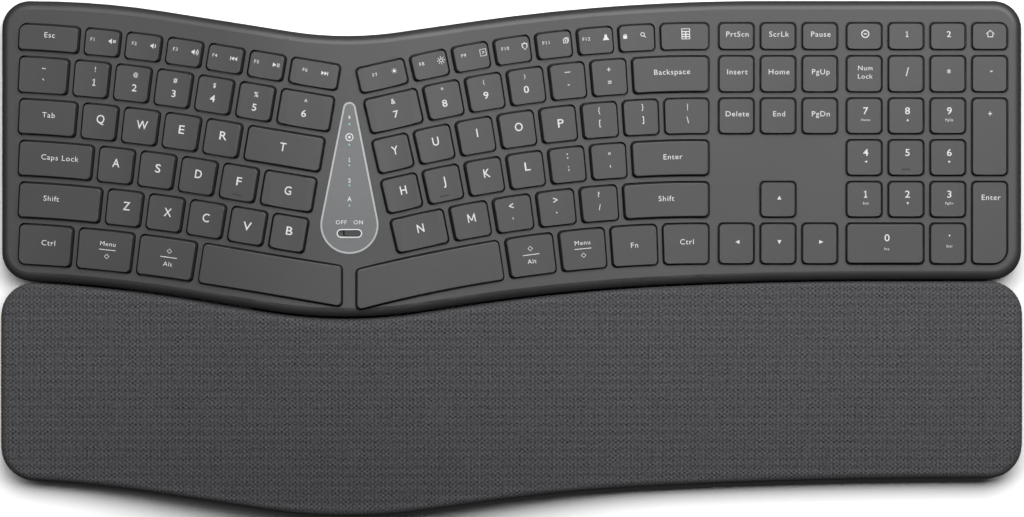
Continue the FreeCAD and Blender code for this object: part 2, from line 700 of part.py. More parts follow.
def key_cap(cell, cap_layer, hollow_layer):
    """One key cap: leaning sides, rounded rim, dished top, hollow below."""
    low = CAP_BOTTOM - CAP_REACH
    high = CAP_TOP + OVERCUT
    wires = [cell.outline(cap_inset(height), height, CAP_CORNER_R) for height in (low, high)]
    body = placed(Part.makeLoft(wires, True, True), cell.placement).common(cap_layer)
    body = body.makeFillet(CAP_RIM, rim_edges(body))
    if cell.width < DISH_MAX_WIDTH:
        body = body.cut(key_dish(cell))
    inner = Part.Face(cell.outline(cap_inset(CAP_BOTTOM) + CAP_WALL, low, CAP_INNER_CORNER_R))
    hollow = placed(inner.extrude(Vector(0, 0, high - low)), cell.placement).common(hollow_layer)
    return body.cut(hollow)


def key_dish(cell):
    """The shallow trough across a cap's top, as a cutting tool along the key's depth."""
    half = cell.width / 2 - cap_inset(CAP_TOP)
    radius = (half ** 2 + DISH_DEPTH ** 2) / (2 * DISH_DEPTH)
    trough = Part.makeCylinder(radius, 2 * cell.depth, Vector(0, -cell.depth, 0), Vector(0, 1, 0))
    trough.translate(Vector(0, 0, CAP_TOP - DISH_DEPTH + radius))
    return placed(trough, turned_frame(cell))


def turned_frame(cell):
    """The key's frame, turned so that local X runs along its row."""
    return cell.placement.multiply(FreeCAD.Placement(Vector(0, 0, 0),
                                                     Rotation(Vector(0, 0, 1), cell.turn * 180 / pi)))


def key_nodes(cells):
    """Each key node's caps, as one shape of separate caps."""
    cap_layer = layer(CAP_BOTTOM, CAP_TOP)
    hollow_layer = layer(CAP_BOTTOM - 2 * CAP_REACH, CAP_CEILING)
    nodes = {}
    for node, names in KEY_NODES.items():
        nodes[node] = Part.makeCompound([key_cap(cells[name], cap_layer, hollow_layer) for name in names])
    return nodes


# Key mechanism

def rubber_domes(cells):
    """A hollow rubber dome on the membrane under every key."""
    foot = MEMBRANE_TOP + DOME_SEAT
    height = CAP_CEILING - SEAT_CLEARANCE - foot
    outer = Part.makeCone(DOME_FOOT_R, DOME_TOP_R, height)
    inner = Part.makeCone(DOME_FOOT_R - DOME_WALL, DOME_TOP_R - DOME_WALL, height - DOME_WALL)
    dome = outer.cut(inner)
    dome.translate(Vector(0, 0, foot))
    return Part.makeCompound([placed(dome, cell.placement) for cell in cells.values()])


def link_frame(width, length):
    """One link of a scissor: a thin rectangular frame around the origin."""
    half_t = LINK_THICKNESS / 2
    outer = box(-width / 2, -length / 2, -half_t, width / 2, length / 2, half_t)
    bar = LINK_BAR
    return outer.cut(box(-width / 2 + bar, -length / 2 + bar, -1, width / 2 - bar, length / 2 - bar, 1))


def scissor_links(cells):
    """Two crossing frames under every cap keep it level as it goes down."""
    low = MEMBRANE_TOP + SEAT_CLEARANCE + LINK_BAR / 2
    high = CAP_CEILING - SEAT_CLEARANCE - LINK_BAR / 2
    inner_width = LINK_OUTER_WIDTH - 2 * LINK_BAR - 2 * LINK_GAP
    links = []
    for cell in cells.values():
        room = cell.depth - 2 * cap_inset(CAP_BOTTOM) - 2 * CAP_WALL - 4 * LINK_GAP
        length = min(LINK_LENGTH, room)
        lean = asin((high - low) / (length - LINK_BAR)) * 180 / pi
        for width, angle in ((LINK_OUTER_WIDTH, lean), (inner_width, -lean)):
            frame = link_frame(width, length)
            frame.rotate(Vector(0, 0, 0), Vector(1, 0, 0), angle)
            frame.translate(Vector(0, 0, (low + high) / 2))
            links.append(placed(frame, turned_frame(cell)))
    return Part.makeCompound(links)


def bent_wire(points, radius):
    """A round wire through points, with ball corners."""
    pieces = []
    for start, end in zip(points, points[1:]):
        pieces.append(Part.makeCylinder(radius, (end - start).Length, start, end - start))
    pieces += [Part.makeSphere(radius, point) for point in points[1:-1]]
    return fused(pieces)


def rise_over_plane(cell, along):
    """How far the case's surface stands over the key's plane, at a distance along the row."""
    x = cell.x + along * cos(cell.turn) * cos(cell.slope)
    plane_z = surface(cell.x)[0] + (x - cell.x) * tan(cell.slope)
    return (surface(x)[0] - plane_z) * cos(cell.slope)


def stabiliser_bars(cells):
    """A wire under each long key joins its two ends, so that it sinks level."""
    bars = []
    for name in STABILISED_KEYS:
        cell = cells[name]
        tall = name in TALL_KEYS
        span = cell.depth if tall else cell.width
        across = cell.width if tall else cell.depth
        half = min(span / 2 - BAR_END_INSET, BAR_HALF_MAX)
        offset = across / 2 - cap_inset(CAP_BOTTOM) - CAP_WALL - BAR_WALL_GAP - BAR_WIRE_R
        feet = [MEMBRANE_TOP + SEAT_CLEARANCE + BAR_WIRE_R + rise
                for rise in ((0, 0) if tall else (rise_over_plane(cell, -half), rise_over_plane(cell, half)))]
        points = [Vector(-half, offset - BAR_LEG, feet[0]), Vector(-half, offset, BAR_LEVEL),
                  Vector(half, offset, BAR_LEVEL), Vector(half, offset - BAR_LEG, feet[1])]
        bar = bent_wire(points, BAR_WIRE_R)
        if tall:
            bar.rotate(Vector(0, 0, 0), Vector(0, 0, 1), -90)
        bars.append(placed(bar, turned_frame(cell)))
    return Part.makeCompound(bars)


def stake_spots(cells):
    """Where the top case's stakes pass the plate: under the webs, behind chosen keys."""
    spots = []
    for name in STAKE_KEYS:
        cell = cells[name]
        rear = cell.side(cell.x0, False)[0]
        spots.append((rear.x, rear.y))
    return spots


def stake_tool(spot, radius, low, high):
    """A cylinder square to the surface at a spot, between two heights."""
    x, y = spot
    return placed(Part.makeCylinder(radius, high - low, Vector(0, 0, low)), frame_at(x, y))


def window_box():
    """The room left in plate and membrane for the switch and the light board."""
    front = SLOT_Y - SWITCH_WIDTH / 2 - WINDOW_MARGIN
    rear = LENS_Y[0] + WINDOW_MARGIN + LED_BOARD_END
    return box(PANEL_X - WINDOW_HALF_WIDTH, front, 0, PANEL_X + WINDOW_HALF_WIDTH, rear, CREST_Z)


def ribbon_middle_y():
    """Y of the ribbon, in line with the main board's middle."""
    return BOARD_Y + BOARD_SIZE[1] / 2


def key_plate(cells):
    """The steel plate that carries the keys, bent to the case's curve."""
    plate = prism(case_outline(PLATE_INSET), 0, 2 * CREST_Z).common(layer(PLATE_BOTTOM, PLATE_TOP))
    tools = [window_box()]
    for spot in stake_spots(cells):
        tools.append(stake_tool(spot, STAKE_R + STAKE_CLEARANCE, PLATE_BOTTOM - OVERCUT, PLATE_TOP + OVERCUT))
    for x, y in POSTS:
        tools.append(cylinder_z(x, y, SCREW_R + THREAD_CLEARANCE, 0, 2 * CREST_Z))
    y = ribbon_middle_y()
    half = RIBBON_WIDTH / 2 + RIBBON_SLOT / 2
    tools.append(box(RIBBON_X - RIBBON_SLOT / 2, y - half, 0, RIBBON_X + RIBBON_SLOT / 2, y + half, 2 * CREST_Z))
    return plate.cut(tools)


def membrane(cells):
    """The printed contact sheet on the plate."""
    sheet = prism(case_outline(MEMBRANE_INSET), 0, 2 * CREST_Z).common(layer(PLATE_TOP, MEMBRANE_TOP))
    tools = [window_box()]
    for spot in stake_spots(cells):
        tools.append(stake_tool(spot, STAKE_R + STAKE_CLEARANCE, PLATE_TOP - OVERCUT, MEMBRANE_TOP + OVERCUT))
    return sheet.cut(tools)


# Indicator panel and power switch

def teardrop(grow=0.0):
    """The panel's outline: a round foot, a small round tip and straight sides."""
    foot_r = PANEL_FOOT_R + grow
    tip_r = PANEL_TIP_R + grow
    foot_y = PANEL_FOOT_Y + PANEL_FOOT_R
    tip_y = PANEL_TIP_Y - PANEL_TIP_R
    lean = asin((foot_r - tip_r) / (tip_y - foot_y))
    side = Vector(cos(lean), sin(lean), 0)
    mirrored = Vector(-side.x, side.y, 0)
    foot = Vector(PANEL_X, foot_y, 0)
    tip = Vector(PANEL_X, tip_y, 0)
    return Part.Wire([Part.Arc(foot + mirrored * foot_r, foot + Vector(0, -foot_r, 0),
                               foot + side * foot_r).toShape(),
                      Part.makeLine(foot + side * foot_r, tip + side * tip_r),
                      Part.Arc(tip + side * tip_r, tip + Vector(0, tip_r, 0), tip + mirrored * tip_r).toShape(),
                      Part.makeLine(tip + mirrored * tip_r, foot + mirrored * foot_r)])


def panel_z():
    """Height of the case's surface at the panel's middle line."""
    return surface(PANEL_X)[0]


def slider_travel():
    """How far the power slider moves between its two ends."""
    return SLOT_LENGTH - KNOB_LENGTH - 2 * KNOB_END_CLEARANCE


def indicator_panel():
    """The grey teardrop plate set into the case between the halves."""
    plate = prism(teardrop(), 0, 2 * CREST_Z).common(layer(-PANEL_THICKNESS, PANEL_PROUD))
    tools = [cylinder_z(PANEL_X, y, LENS_R + LENS_CLEARANCE, 0, 2 * CREST_Z) for y in LENS_Y]
    slot = prism(stadium(SLOT_LENGTH, SLOT_WIDTH), 0, 2 * CREST_Z)
    slot.translate(Vector(PANEL_X, SLOT_Y, 0))
    return plate.cut(tools + [slot])


def indicator_lenses():
    """Clear light pipes through panel and case."""
    low = panel_z() - LENS_FOOT
    return Part.makeCompound([cylinder_z(PANEL_X, y, LENS_R, low, panel_z() + PANEL_PROUD) for y in LENS_Y])


def stem_slot(low_z, high_z):
    """The slot that the slider's stem runs in."""
    half_x = (STEM_LENGTH + slider_travel()) / 2 + KNOB_END_CLEARANCE
    half_y = STEM_WIDTH / 2 + KNOB_SIDE_CLEARANCE
    return box(PANEL_X - half_x, SLOT_Y - half_y, low_z, PANEL_X + half_x, SLOT_Y + half_y, high_z)


def power_slider():
    """The sliding knob, at its right-hand end, with its stem down into the switch."""
    x = PANEL_X + slider_travel() / 2
    top = panel_z() + KNOB_PROUD
    low = panel_z() - PANEL_THICKNESS + SEAT_CLEARANCE
    knob = prism(stadium(KNOB_LENGTH, SLOT_WIDTH - 2 * KNOB_SIDE_CLEARANCE), low, top)
    knob.translate(Vector(x, SLOT_Y, 0))
    grooves = []
    for step in (-1, 0, 1):
        middle = x + step * GRIP_PITCH
        grooves.append(box(middle - GRIP_WIDTH / 2, SLOT_Y - SLOT_WIDTH, top - GRIP_DEPTH,
                           middle + GRIP_WIDTH / 2, SLOT_Y + SLOT_WIDTH, top + 1))
    stem_foot = panel_z() - TOP_WALL - STEM_REACH
    stem = box(x - STEM_LENGTH / 2, SLOT_Y - STEM_WIDTH / 2, stem_foot,
               x + STEM_LENGTH / 2, SLOT_Y + STEM_WIDTH / 2, low)
    return fused([knob.cut(grooves), stem])


def power_switch():
    """The slide switch's body under the case, open above for the stem."""
    top = panel_z() - TOP_WALL - SEAT_CLEARANCE
    body = box(PANEL_X - SWITCH_LENGTH / 2, SLOT_Y - SWITCH_WIDTH / 2, top - SWITCH_HEIGHT,
               PANEL_X + SWITCH_LENGTH / 2, SLOT_Y + SWITCH_WIDTH / 2, top)
    return body.cut(stem_slot(panel_z() - TOP_WALL - STEM_REACH - SEAT_CLEARANCE, top + 1))


def light_board_pegs(radius):
    """Two short pegs under the case that hold the light board."""
    top = panel_z() - TOP_WALL
    low = panel_z() - LED_BOARD_TOP
    spots = (LENS_Y[0] + LED_PEG_OFFSET, LENS_Y[-1] - LED_PEG_OFFSET)
    return [cylinder_z(PANEL_X, y, radius, low, top + TOP_WALL / 2) for y in spots]


def circuit_boards():
    """The main board with its chips, and the narrow board of lights under the panel."""
    length, width, thickness = BOARD_SIZE
    low = FLOOR_TOP + BOARD_STANDOFF
    top = low + thickness
    pieces = [box(BOARD_X, BOARD_Y, low, BOARD_X + length, BOARD_Y + width, top)]
    for x, y, size_x, size_y, size_z in CHIPS:
        pieces.append(box(BOARD_X + x, BOARD_Y + y, top, BOARD_X + x + size_x, BOARD_Y + y + size_y, top + size_z))
    size_x, size_y, size_z = CONNECTOR_SIZE
    y = ribbon_middle_y()
    pieces.append(box(BOARD_X, y - size_y / 2, top, BOARD_X + size_x, y + size_y / 2, top + size_z))
    top = panel_z() - LED_BOARD_TOP
    lights = [box(PANEL_X - LED_BOARD_HALF_WIDTH, LENS_Y[-1] - LED_BOARD_END, top - LED_BOARD_THICKNESS,
                  PANEL_X + LED_BOARD_HALF_WIDTH, LENS_Y[0] + LED_BOARD_END, top)]
    led_x, led_y, led_z = LED_SIZE
    for y in LENS_Y:
        lights.append(box(PANEL_X - led_x / 2, y - led_y / 2, top, PANEL_X + led_x / 2, y + led_y / 2, top + led_z))
    return Part.makeCompound([fused(pieces), fused(lights)])


def ribbon_cable():
    """The flat tail that brings the membrane's circuits down to the main board."""
    y = ribbon_middle_y() - RIBBON_WIDTH / 2
    level = FLOOR_TOP + BOARD_STANDOFF + BOARD_SIZE[2] + CONNECTOR_SIZE[2] / 2
    half = RIBBON_THICKNESS / 2
    inner_r = RIBBON_BEND_R - half
    outer_r = RIBBON_BEND_R + half
    centre = Vector(RIBBON_X + RIBBON_BEND_R, y, level + RIBBON_BEND_R)
    diagonal = Vector(-1, 0, -1).normalize()
    top_z = CREST_Z
    end_x = BOARD_X
    edges = [Part.makeLine(Vector(RIBBON_X - half, y, top_z), Vector(RIBBON_X - half, y, centre.z)),
             Part.Arc(Vector(RIBBON_X - half, y, centre.z), centre + diagonal * outer_r,
                      Vector(centre.x, y, level - half)).toShape(),
             Part.makeLine(Vector(centre.x, y, level - half), Vector(end_x, y, level - half)),
             Part.makeLine(Vector(end_x, y, level - half), Vector(end_x, y, level + half)),
             Part.makeLine(Vector(end_x, y, level + half), Vector(centre.x, y, level + half)),
             Part.Arc(Vector(centre.x, y, level + half), centre + diagonal * inner_r,
                      Vector(RIBBON_X + half, y, centre.z)).toShape(),
             Part.makeLine(Vector(RIBBON_X + half, y, centre.z), Vector(RIBBON_X + half, y, top_z)),
             Part.makeLine(Vector(RIBBON_X + half, y, top_z), Vector(RIBBON_X - half, y, top_z))]
    strip = Part.Face(Part.Wire(edges)).extrude(Vector(0, RIBBON_WIDTH, 0))
    return strip.common(block_under(PLATE_TOP, 0))


# Cases

def outer_edges(shape, floor_z):
    """The edges around the top of an upright-walled block, above a level."""
    chosen = []
    for edge in shape.Edges:
        bounds = edge.BoundBox
        upright = bounds.ZLength > bounds.XLength + bounds.YLength
        if bounds.ZMin < floor_z + 1 or upright:
            continue
        middle = edge.valueAt((edge.FirstParameter + edge.LastParameter) / 2)
        faces = shape.ancestorsOfType(edge, Part.Face)
        tilts = sorted(abs(face.normalAt(*face.Surface.parameter(middle)).z) for face in faces)
        if tilts[0] < 0.01 and tilts[-1] > 0.5:
            chosen.append(edge)
    return chosen


def lip_ring():
    """The thin ring under the top case's rim that drops inside the bottom case."""
    low = PARTING_Z - LIP_DEPTH
    outer = prism(case_outline(SIDE_WALL - LIP_WALL), low, PARTING_Z + 1)
    return outer.cut(prism(case_outline(SIDE_WALL), low - 1, PARTING_Z + 2))


def top_case(cells):
    """The arched upper shell with an opening for every key and a recess for the panel."""
    block = prism(case_outline(), PARTING_Z, 2 * CREST_Z).common(block_under(0.0, 0.0))
    block = block.makeFillet(EDGE_ROUND, outer_edges(block, PARTING_Z))
    inner = prism(case_outline(SIDE_WALL), 0, 2 * CREST_Z).common(block_under(-TOP_WALL, -OVERCUT))
    shell = block.cut(inner)
    head_top = PLATE_BOTTOM - STAKE_SEAT
    head_foot = head_top - STAKE_HEAD
    spots = stake_spots(cells)
    pegs = [stake_tool(spot, STAKE_R, head_foot, -TOP_WALL / 2) for spot in spots]
    heads = [stake_tool(spot, STAKE_HEAD_R, head_foot, head_top) for spot in spots]
    shell = shell.multiFuse([lip_ring()] + pegs + heads + light_board_pegs(STAKE_R))
    recess = prism(teardrop(PANEL_CLEARANCE), 0, 2 * CREST_Z).common(layer(-PANEL_THICKNESS, OVERCUT))
    tools = [key_hole(cell) for cell in cells.values()]
    tools += [recess, stem_slot(0, 2 * CREST_Z)]
    tools += [cylinder_z(PANEL_X, y, LENS_R + LENS_CLEARANCE, 0, 2 * CREST_Z) for y in LENS_Y]
    tools += tongue_slots()
    return shell.cut(tools)


def bay_sizes():
    """Half length and half width of the battery bay, its axis height and inner roof."""
    half_x = CELL_LENGTH / 2 + BAY_END_ROOM
    half_y = 2 * CELL_R + CELL_GAP
    axis_z = FOOT_HEIGHT + DOOR_THICKNESS + DOOR_GAP + CELL_R
    return half_x, half_y, axis_z, axis_z + CELL_R + DOOR_GAP


def door_hinge():
    """Y and Z of the battery door's hinge axis."""
    half_y = bay_sizes()[1]
    return BAY_Y + half_y + DOOR_LEDGE + DOOR_BARREL_R, FOOT_HEIGHT + DOOR_BARREL_R


def bay_walls():
    """The closed box that holds the cells, standing on the bottom case's floor."""
    half_x, half_y, _, roof = bay_sizes()
    w = BAY_WALL
    hinge_y, hinge_z = door_hinge()
    tub = box(BAY_X - half_x - w, BAY_Y - half_y - w, FLOOR_TOP - 1,
              BAY_X + half_x + w, BAY_Y + half_y + w, roof + w)
    cheek = box(BAY_X - half_x - w - DOOR_LEDGE, BAY_Y + half_y, FLOOR_TOP - 1,
                BAY_X + half_x + w + DOOR_LEDGE, hinge_y + DOOR_BARREL_R + DOOR_GAP + w,
                hinge_z + DOOR_BARREL_R + DOOR_GAP + w)
    return [tub, cheek]


def bay_cuts():
    """Everything the bay takes out of the bottom case: cells' room, door recess, hinge."""
    half_x, half_y, _, roof = bay_sizes()
    hinge_y, hinge_z = door_hinge()
    room = box(BAY_X - half_x, BAY_Y - half_y, 0, BAY_X + half_x, BAY_Y + half_y, roof)
    reach = half_x + DOOR_LEDGE + DOOR_GAP
    recess = box(BAY_X - reach, BAY_Y - half_y - DOOR_LEDGE - DOOR_GAP, 0,
                 BAY_X + reach, hinge_y, FOOT_HEIGHT + DOOR_THICKNESS)
    channel_r = DOOR_BARREL_R + DOOR_GAP
    channel = cylinder_x(BAY_X - reach, BAY_X + reach, hinge_y, hinge_z, channel_r)
    mouth = box(BAY_X - reach, hinge_y - channel_r, 0, BAY_X + reach, hinge_y + channel_r, hinge_z)
    pins = cylinder_x(BAY_X - reach - DOOR_PIN_LENGTH, BAY_X + reach + DOOR_PIN_LENGTH, hinge_y, hinge_z,
                      DOOR_PIN_R + DOOR_PIN_CLEARANCE)
    return [room, recess, channel, mouth, pins]


def battery_door():
    """The door under the cells: a plate with a hinge barrel and stub pins at its rear."""
    half_x, half_y, _, _ = bay_sizes()
    hinge_y, hinge_z = door_hinge()
    reach = half_x + DOOR_LEDGE
    front = BAY_Y - half_y - DOOR_LEDGE
    plate = box(BAY_X - reach, front, FOOT_HEIGHT, BAY_X + reach, hinge_y, FOOT_HEIGHT + DOOR_THICKNESS)
    corners = [edge for edge in plate.Edges if edge.BoundBox.ZLength > DOOR_THICKNESS / 2
               and edge.BoundBox.YMax < BAY_Y]
    plate = plate.makeFillet(DOOR_CORNER_R, corners)
    grooves = []
    for step in range(3):
        y = front + DOOR_GRIP_START + step * DOOR_GRIP_PITCH
        grooves.append(box(BAY_X - DOOR_GRIP_HALF, y, 0, BAY_X + DOOR_GRIP_HALF, y + GRIP_WIDTH,
                           FOOT_HEIGHT + GRIP_DEPTH))
    barrel = cylinder_x(BAY_X - reach, BAY_X + reach, hinge_y, hinge_z, DOOR_BARREL_R)
    pins = cylinder_x(BAY_X - reach - DOOR_PIN_LENGTH, BAY_X + reach + DOOR_PIN_LENGTH, hinge_y, hinge_z,
                      DOOR_PIN_R)
    return fused([plate.cut(grooves), barrel, pins])


def cell_lines():
    """Y of each cell's axis, and which way its nub points."""
    offset = CELL_R + CELL_GAP / 2
    return [(BAY_Y - offset, 1), (BAY_Y + offset, -1)]


def battery_cells():
    """Two small round cells side by side, nubs opposite ways."""
    axis_z = bay_sizes()[2]
    cells = []
    for y, way in cell_lines():
        end = BAY_X + way * CELL_LENGTH / 2
        can = cylinder_x(BAY_X - CELL_LENGTH / 2, BAY_X + CELL_LENGTH / 2, y, axis_z, CELL_R)
        nub = cylinder_x(min(end, end + way * CELL_NUB), max(end, end + way * CELL_NUB), y, axis_z, CELL_NUB_R)
        cells.append(fused([can, nub]))
    return Part.makeCompound(cells)


def battery_contacts():
    """A coil spring behind each cell's flat end and a dimpled plate at its nub."""
    half_x, _, axis_z, _ = bay_sizes()
    half = CONTACT_SIZE / 2
    pieces = []
    for y, way in cell_lines():
        for side in (-1, 1):
            wall = BAY_X + side * half_x
            inner = wall - side * CONTACT_THICKNESS
            plate = box(min(wall, inner), y - half, axis_z - half, max(wall, inner), y + half, axis_z + half)
            if side == way:
                height = BAY_END_ROOM - CONTACT_THICKNESS - CELL_NUB - SEAT_CLEARANCE
                dimple = Part.makeCone(half - 1, CELL_NUB_R, height, Vector(inner, y, axis_z), Vector(-side, 0, 0))
                pieces.append(fused([plate, dimple]))
            else:
                pieces.append(plate)
                pieces.append(contact_spring(inner, y, axis_z, -side))
    return Part.makeCompound(pieces)


def contact_spring(x, y, z, way):
    """A coil spring along X that starts on a contact plate."""
    height = BAY_END_ROOM - CONTACT_THICKNESS - 2 * SPRING_WIRE_R - 2 * SPRING_END_GAP
    helix = Part.makeHelix(height / SPRING_TURNS, height, SPRING_R)
    profile = Part.Wire(Part.makeCircle(SPRING_WIRE_R, Vector(SPRING_R, 0, 0), Vector(0, 1, 0)))
    coil = Part.Wire(helix.Edges).makePipeShell([profile], True, True)
    coil.translate(Vector(0, 0, SPRING_WIRE_R + SPRING_END_GAP))
    coil.rotate(Vector(0, 0, 0), Vector(0, 1, 0), 90 * way)
    coil.translate(Vector(x, y, z))
    return coil


def screw_post_top(x, y):
    """Level of the plate's underside over a post, on its lower side."""
    z, slope = surface(x)
    return z + PLATE_BOTTOM / cos(slope) - POST_R * abs(tan(slope))


def screw_tip(x):
    """Level at which a screw ends inside the plate, under its lower edge."""
    z, slope = surface(x)
    return z + PLATE_TOP / cos(slope) - SCREW_R * abs(tan(slope))


def bottom_case():
    """The flat tray with ribs, screw posts, board supports and the battery bay."""
    wall_top = PARTING_Z
    tray = prism(case_outline(), FOOT_HEIGHT, wall_top)
    tray = tray.cut(prism(case_outline(SIDE_WALL), FLOOR_TOP, wall_top + 1))
    step = prism(case_outline(SIDE_WALL - LIP_WALL - LIP_CLEARANCE),
                 PARTING_Z - LIP_DEPTH - LIP_CLEARANCE, wall_top + 1)
    tray = tray.cut(step)
    low = FLOOR_TOP - FLOOR_THICKNESS / 2
    inside = prism(case_outline(SIDE_WALL + LIP_CLEARANCE + RIB_WALL), low, 2 * CREST_Z)
    under_plate = inside.common(block_under(PLATE_BOTTOM - RIB_DROP, 0))
    ribs = [box(-FAR, y - RIB_WALL / 2, 0, FAR, y + RIB_WALL / 2, 2 * CREST_Z) for y in RIB_Y]
    ribs += [box(x - RIB_WALL / 2, -FAR, 0, x + RIB_WALL / 2, FAR, 2 * CREST_Z) for x in CROSS_RIB_X]
    ribs = under_plate.common(ribs[0].multiFuse(ribs[1:]))
    columns = [cylinder_z(x, y, POST_R, low, 2 * CREST_Z) for x, y in POSTS]
    posts = [column.common(block_under(PLATE_BOTTOM, 0)) for column in columns]
    standoffs = [cylinder_z(x, y, STANDOFF_R, low, FLOOR_TOP + BOARD_STANDOFF) for x, y in board_corners()]
    case = tray.multiFuse([ribs] + posts + standoffs + bay_walls())
    tools = bay_cuts() + tongue_slots()
    for x, y in POSTS:
        land = screw_post_top(x, y) - SCREW_LAND
        tools.append(cylinder_z(x, y, SCREW_HEAD_R + SCREW_CLEARANCE, 0, land))
        tools.append(cylinder_z(x, y, SCREW_R + SCREW_CLEARANCE, 0, 2 * CREST_Z))
    for x, y in tongue_screws():
        tools.append(cylinder_z(x, y, SCREW_HEAD_R + SCREW_CLEARANCE, 0, FOOT_HEIGHT + TONGUE_HEAD_ROOM))
        tools.append(cylinder_z(x, y, SCREW_R + SCREW_CLEARANCE, 0, FLOOR_TOP + 1))
    return case.cut(tools)


def board_corners():
    """Where the main board rests on its standoffs."""
    length, width, _ = BOARD_SIZE
    edge = STANDOFF_R + 1
    return [(BOARD_X + x, BOARD_Y + y) for x in (edge, length - edge) for y in (edge, width - edge)]


def case_screws():
    """Screws up through the posts into the plate, and through the floor into the tongues."""
    screws = []
    for x, y in POSTS:
        land = screw_post_top(x, y) - SCREW_LAND
        tip = screw_tip(x)
        head = cylinder_z(x, y, SCREW_HEAD_R, land - SCREW_HEAD, land)
        screws.append(fused([head, cylinder_z(x, y, SCREW_R, land, tip)]).cut(driver_recess(x, y, land - SCREW_HEAD)))
    for x, y in tongue_screws():
        land = FOOT_HEIGHT + TONGUE_HEAD_ROOM
        head = cylinder_z(x, y, SCREW_HEAD_R, land - TONGUE_HEAD, land)
        shank = cylinder_z(x, y, SCREW_R, land, FLOOR_TOP + TONGUE_THICKNESS)
        screws.append(fused([head, shank]).cut(driver_recess(x, y, land - TONGUE_HEAD)))
    return Part.makeCompound(screws)


def driver_recess(x, y, z):
    """The crossed recess in a screw head that looks down at level z."""
    arm = SCREW_HEAD_R * 0.6
    half = SCREW_HEAD_R * 0.12
    depth = TONGUE_HEAD / 2
    bars = [box(x - arm, y - half, z - 1, x + arm, y + half, z + depth),
            box(x - half, y - arm, z - 1, x + half, y + arm, z + depth)]
    return bars[0].fuse(bars[1])


# Palm rest

def seam_y(x):
    """Y of the seam at a place in X, between its bends."""
    points = [(-PALM_HALF_WIDTH, SEAM_LEFT_Y)] + [(a, b) for a, b, _ in SEAM_BENDS]
    points.append((PALM_HALF_WIDTH, SEAM_RIGHT_Y))
    for (x0, y0), (x1, y1) in zip(points, points[1:]):
        if x <= x1:
            return y0 + (y1 - y0) * (x - x0) / (x1 - x0)
    return SEAM_RIGHT_Y


def tongue_slots():
    """The openings in the case's front wall for the palm rest's tongues."""
    half = TONGUE_WIDTH / 2 + TONGUE_CLEARANCE
    return [box(x - half, seam_y(x) - 2 * SIDE_WALL, FLOOR_TOP, x + half, seam_y(x) + 3 * SIDE_WALL, PARTING_Z)
            for x in TONGUE_X]


def tongue_screws():
    """Where a screw holds each tongue."""
    return [(x, seam_y(x) + TONGUE_REACH - TONGUE_SCREW_INSET) for x in TONGUE_X]


def leg_axis_z():
    """Height of the tilt legs' hinge axes."""
    return FOOT_HEIGHT + DOOR_GAP + LEG_BARREL_R


def leg_pocket(x, grow):
    """The room of a folded leg; grow makes it the housing around that room."""
    half = LEG_WIDTH / 2 + LEG_GAP + grow
    front = LEG_AXIS_Y - LEG_BARREL_R - LEG_GAP - grow
    rear = LEG_AXIS_Y + LEG_LENGTH + LEG_FINGER_ROOM + grow
    roof = leg_axis_z() + LEG_BARREL_R + LEG_GAP + min(grow, LEG_ROOF)
    return box(x - half, front, 0 if grow == 0 else FOOT_HEIGHT, x + half, rear, roof)


def pin_reach(x):
    """Start and end in X of the pin through a leg."""
    half = LEG_WIDTH / 2 + LEG_GAP + LEG_PIN_SEAT
    return x - half, x + half


def palm_rest_base():
    """The rigid tray under the cushion, with leg housings and tongues into the case."""
    plate = prism(palm_outline(PALM_EDGE_INSET), FOOT_HEIGHT, PALM_BASE_TOP)
    hollow = prism(palm_outline(PALM_EDGE_INSET + PALM_RIM), PALM_BASE_TOP - PALM_POCKET, PALM_BASE_TOP + 1)
    keep = []
    x = -PALM_HALF_WIDTH
    while x < PALM_HALF_WIDTH:
        keep.append(box(x - RIB_WALL / 2, -FAR, 0, x + RIB_WALL / 2, FAR, CREST_Z))
        x += PALM_RIB_PITCH
    keep += [leg_pocket(x, LEG_HOUSING_WALL) for x in LEG_X.values()]
    plate = plate.cut(hollow.cut(keep))
    tongues = []
    for x in TONGUE_X:
        tongues.append(box(x - TONGUE_WIDTH / 2, seam_y(x) - TONGUE_ROOT, FLOOR_TOP, x + TONGUE_WIDTH / 2,
                           seam_y(x) + TONGUE_REACH, FLOOR_TOP + TONGUE_THICKNESS))
    housings = [leg_pocket(x, LEG_HOUSING_WALL) for x in LEG_X.values()]
    base = plate.multiFuse(tongues + housings)
    tools = [leg_pocket(x, 0) for x in LEG_X.values()]
    for x in LEG_X.values():
        start, end = pin_reach(x)
        tools.append(cylinder_x(start, end, LEG_AXIS_Y, leg_axis_z(), LEG_PIN_R + LEG_PIN_CLEARANCE))
    for x, y in tongue_screws():
        tools.append(cylinder_z(x, y, SCREW_R + THREAD_CLEARANCE, 0, CREST_Z))
    return base.cut(tools)


def crown_section(x, drop):
    """One slice of the cushion across its depth: a single crowned arc over a flat base."""
    z, _ = surface(x)
    share = (z - FLAT_Z) / (CREST_Z - FLAT_Z)
    dip = PALM_DIP * max(share, 0)
    rear = Vector(x, SEAM_RIGHT_Y - dip + PALM_OVERHANG, z - PALM_DROP - drop)
    front = Vector(x, FRONT_RIGHT_Y - dip - PALM_OVERHANG, PALM_FRONT_Z + PALM_FRONT_RISE * (z - FLAT_Z) - drop)
    middle = (rear + front) / 2 + Vector(0, 0, PALM_CROWN)
    rear_low = Vector(x, rear.y, 0)
    front_low = Vector(x, front.y, 0)
    return Part.Wire([Part.makeLine(rear_low, rear), Part.Arc(rear, middle, front).toShape(),
                      Part.makeLine(front, front_low), Part.makeLine(front_low, rear_low)])


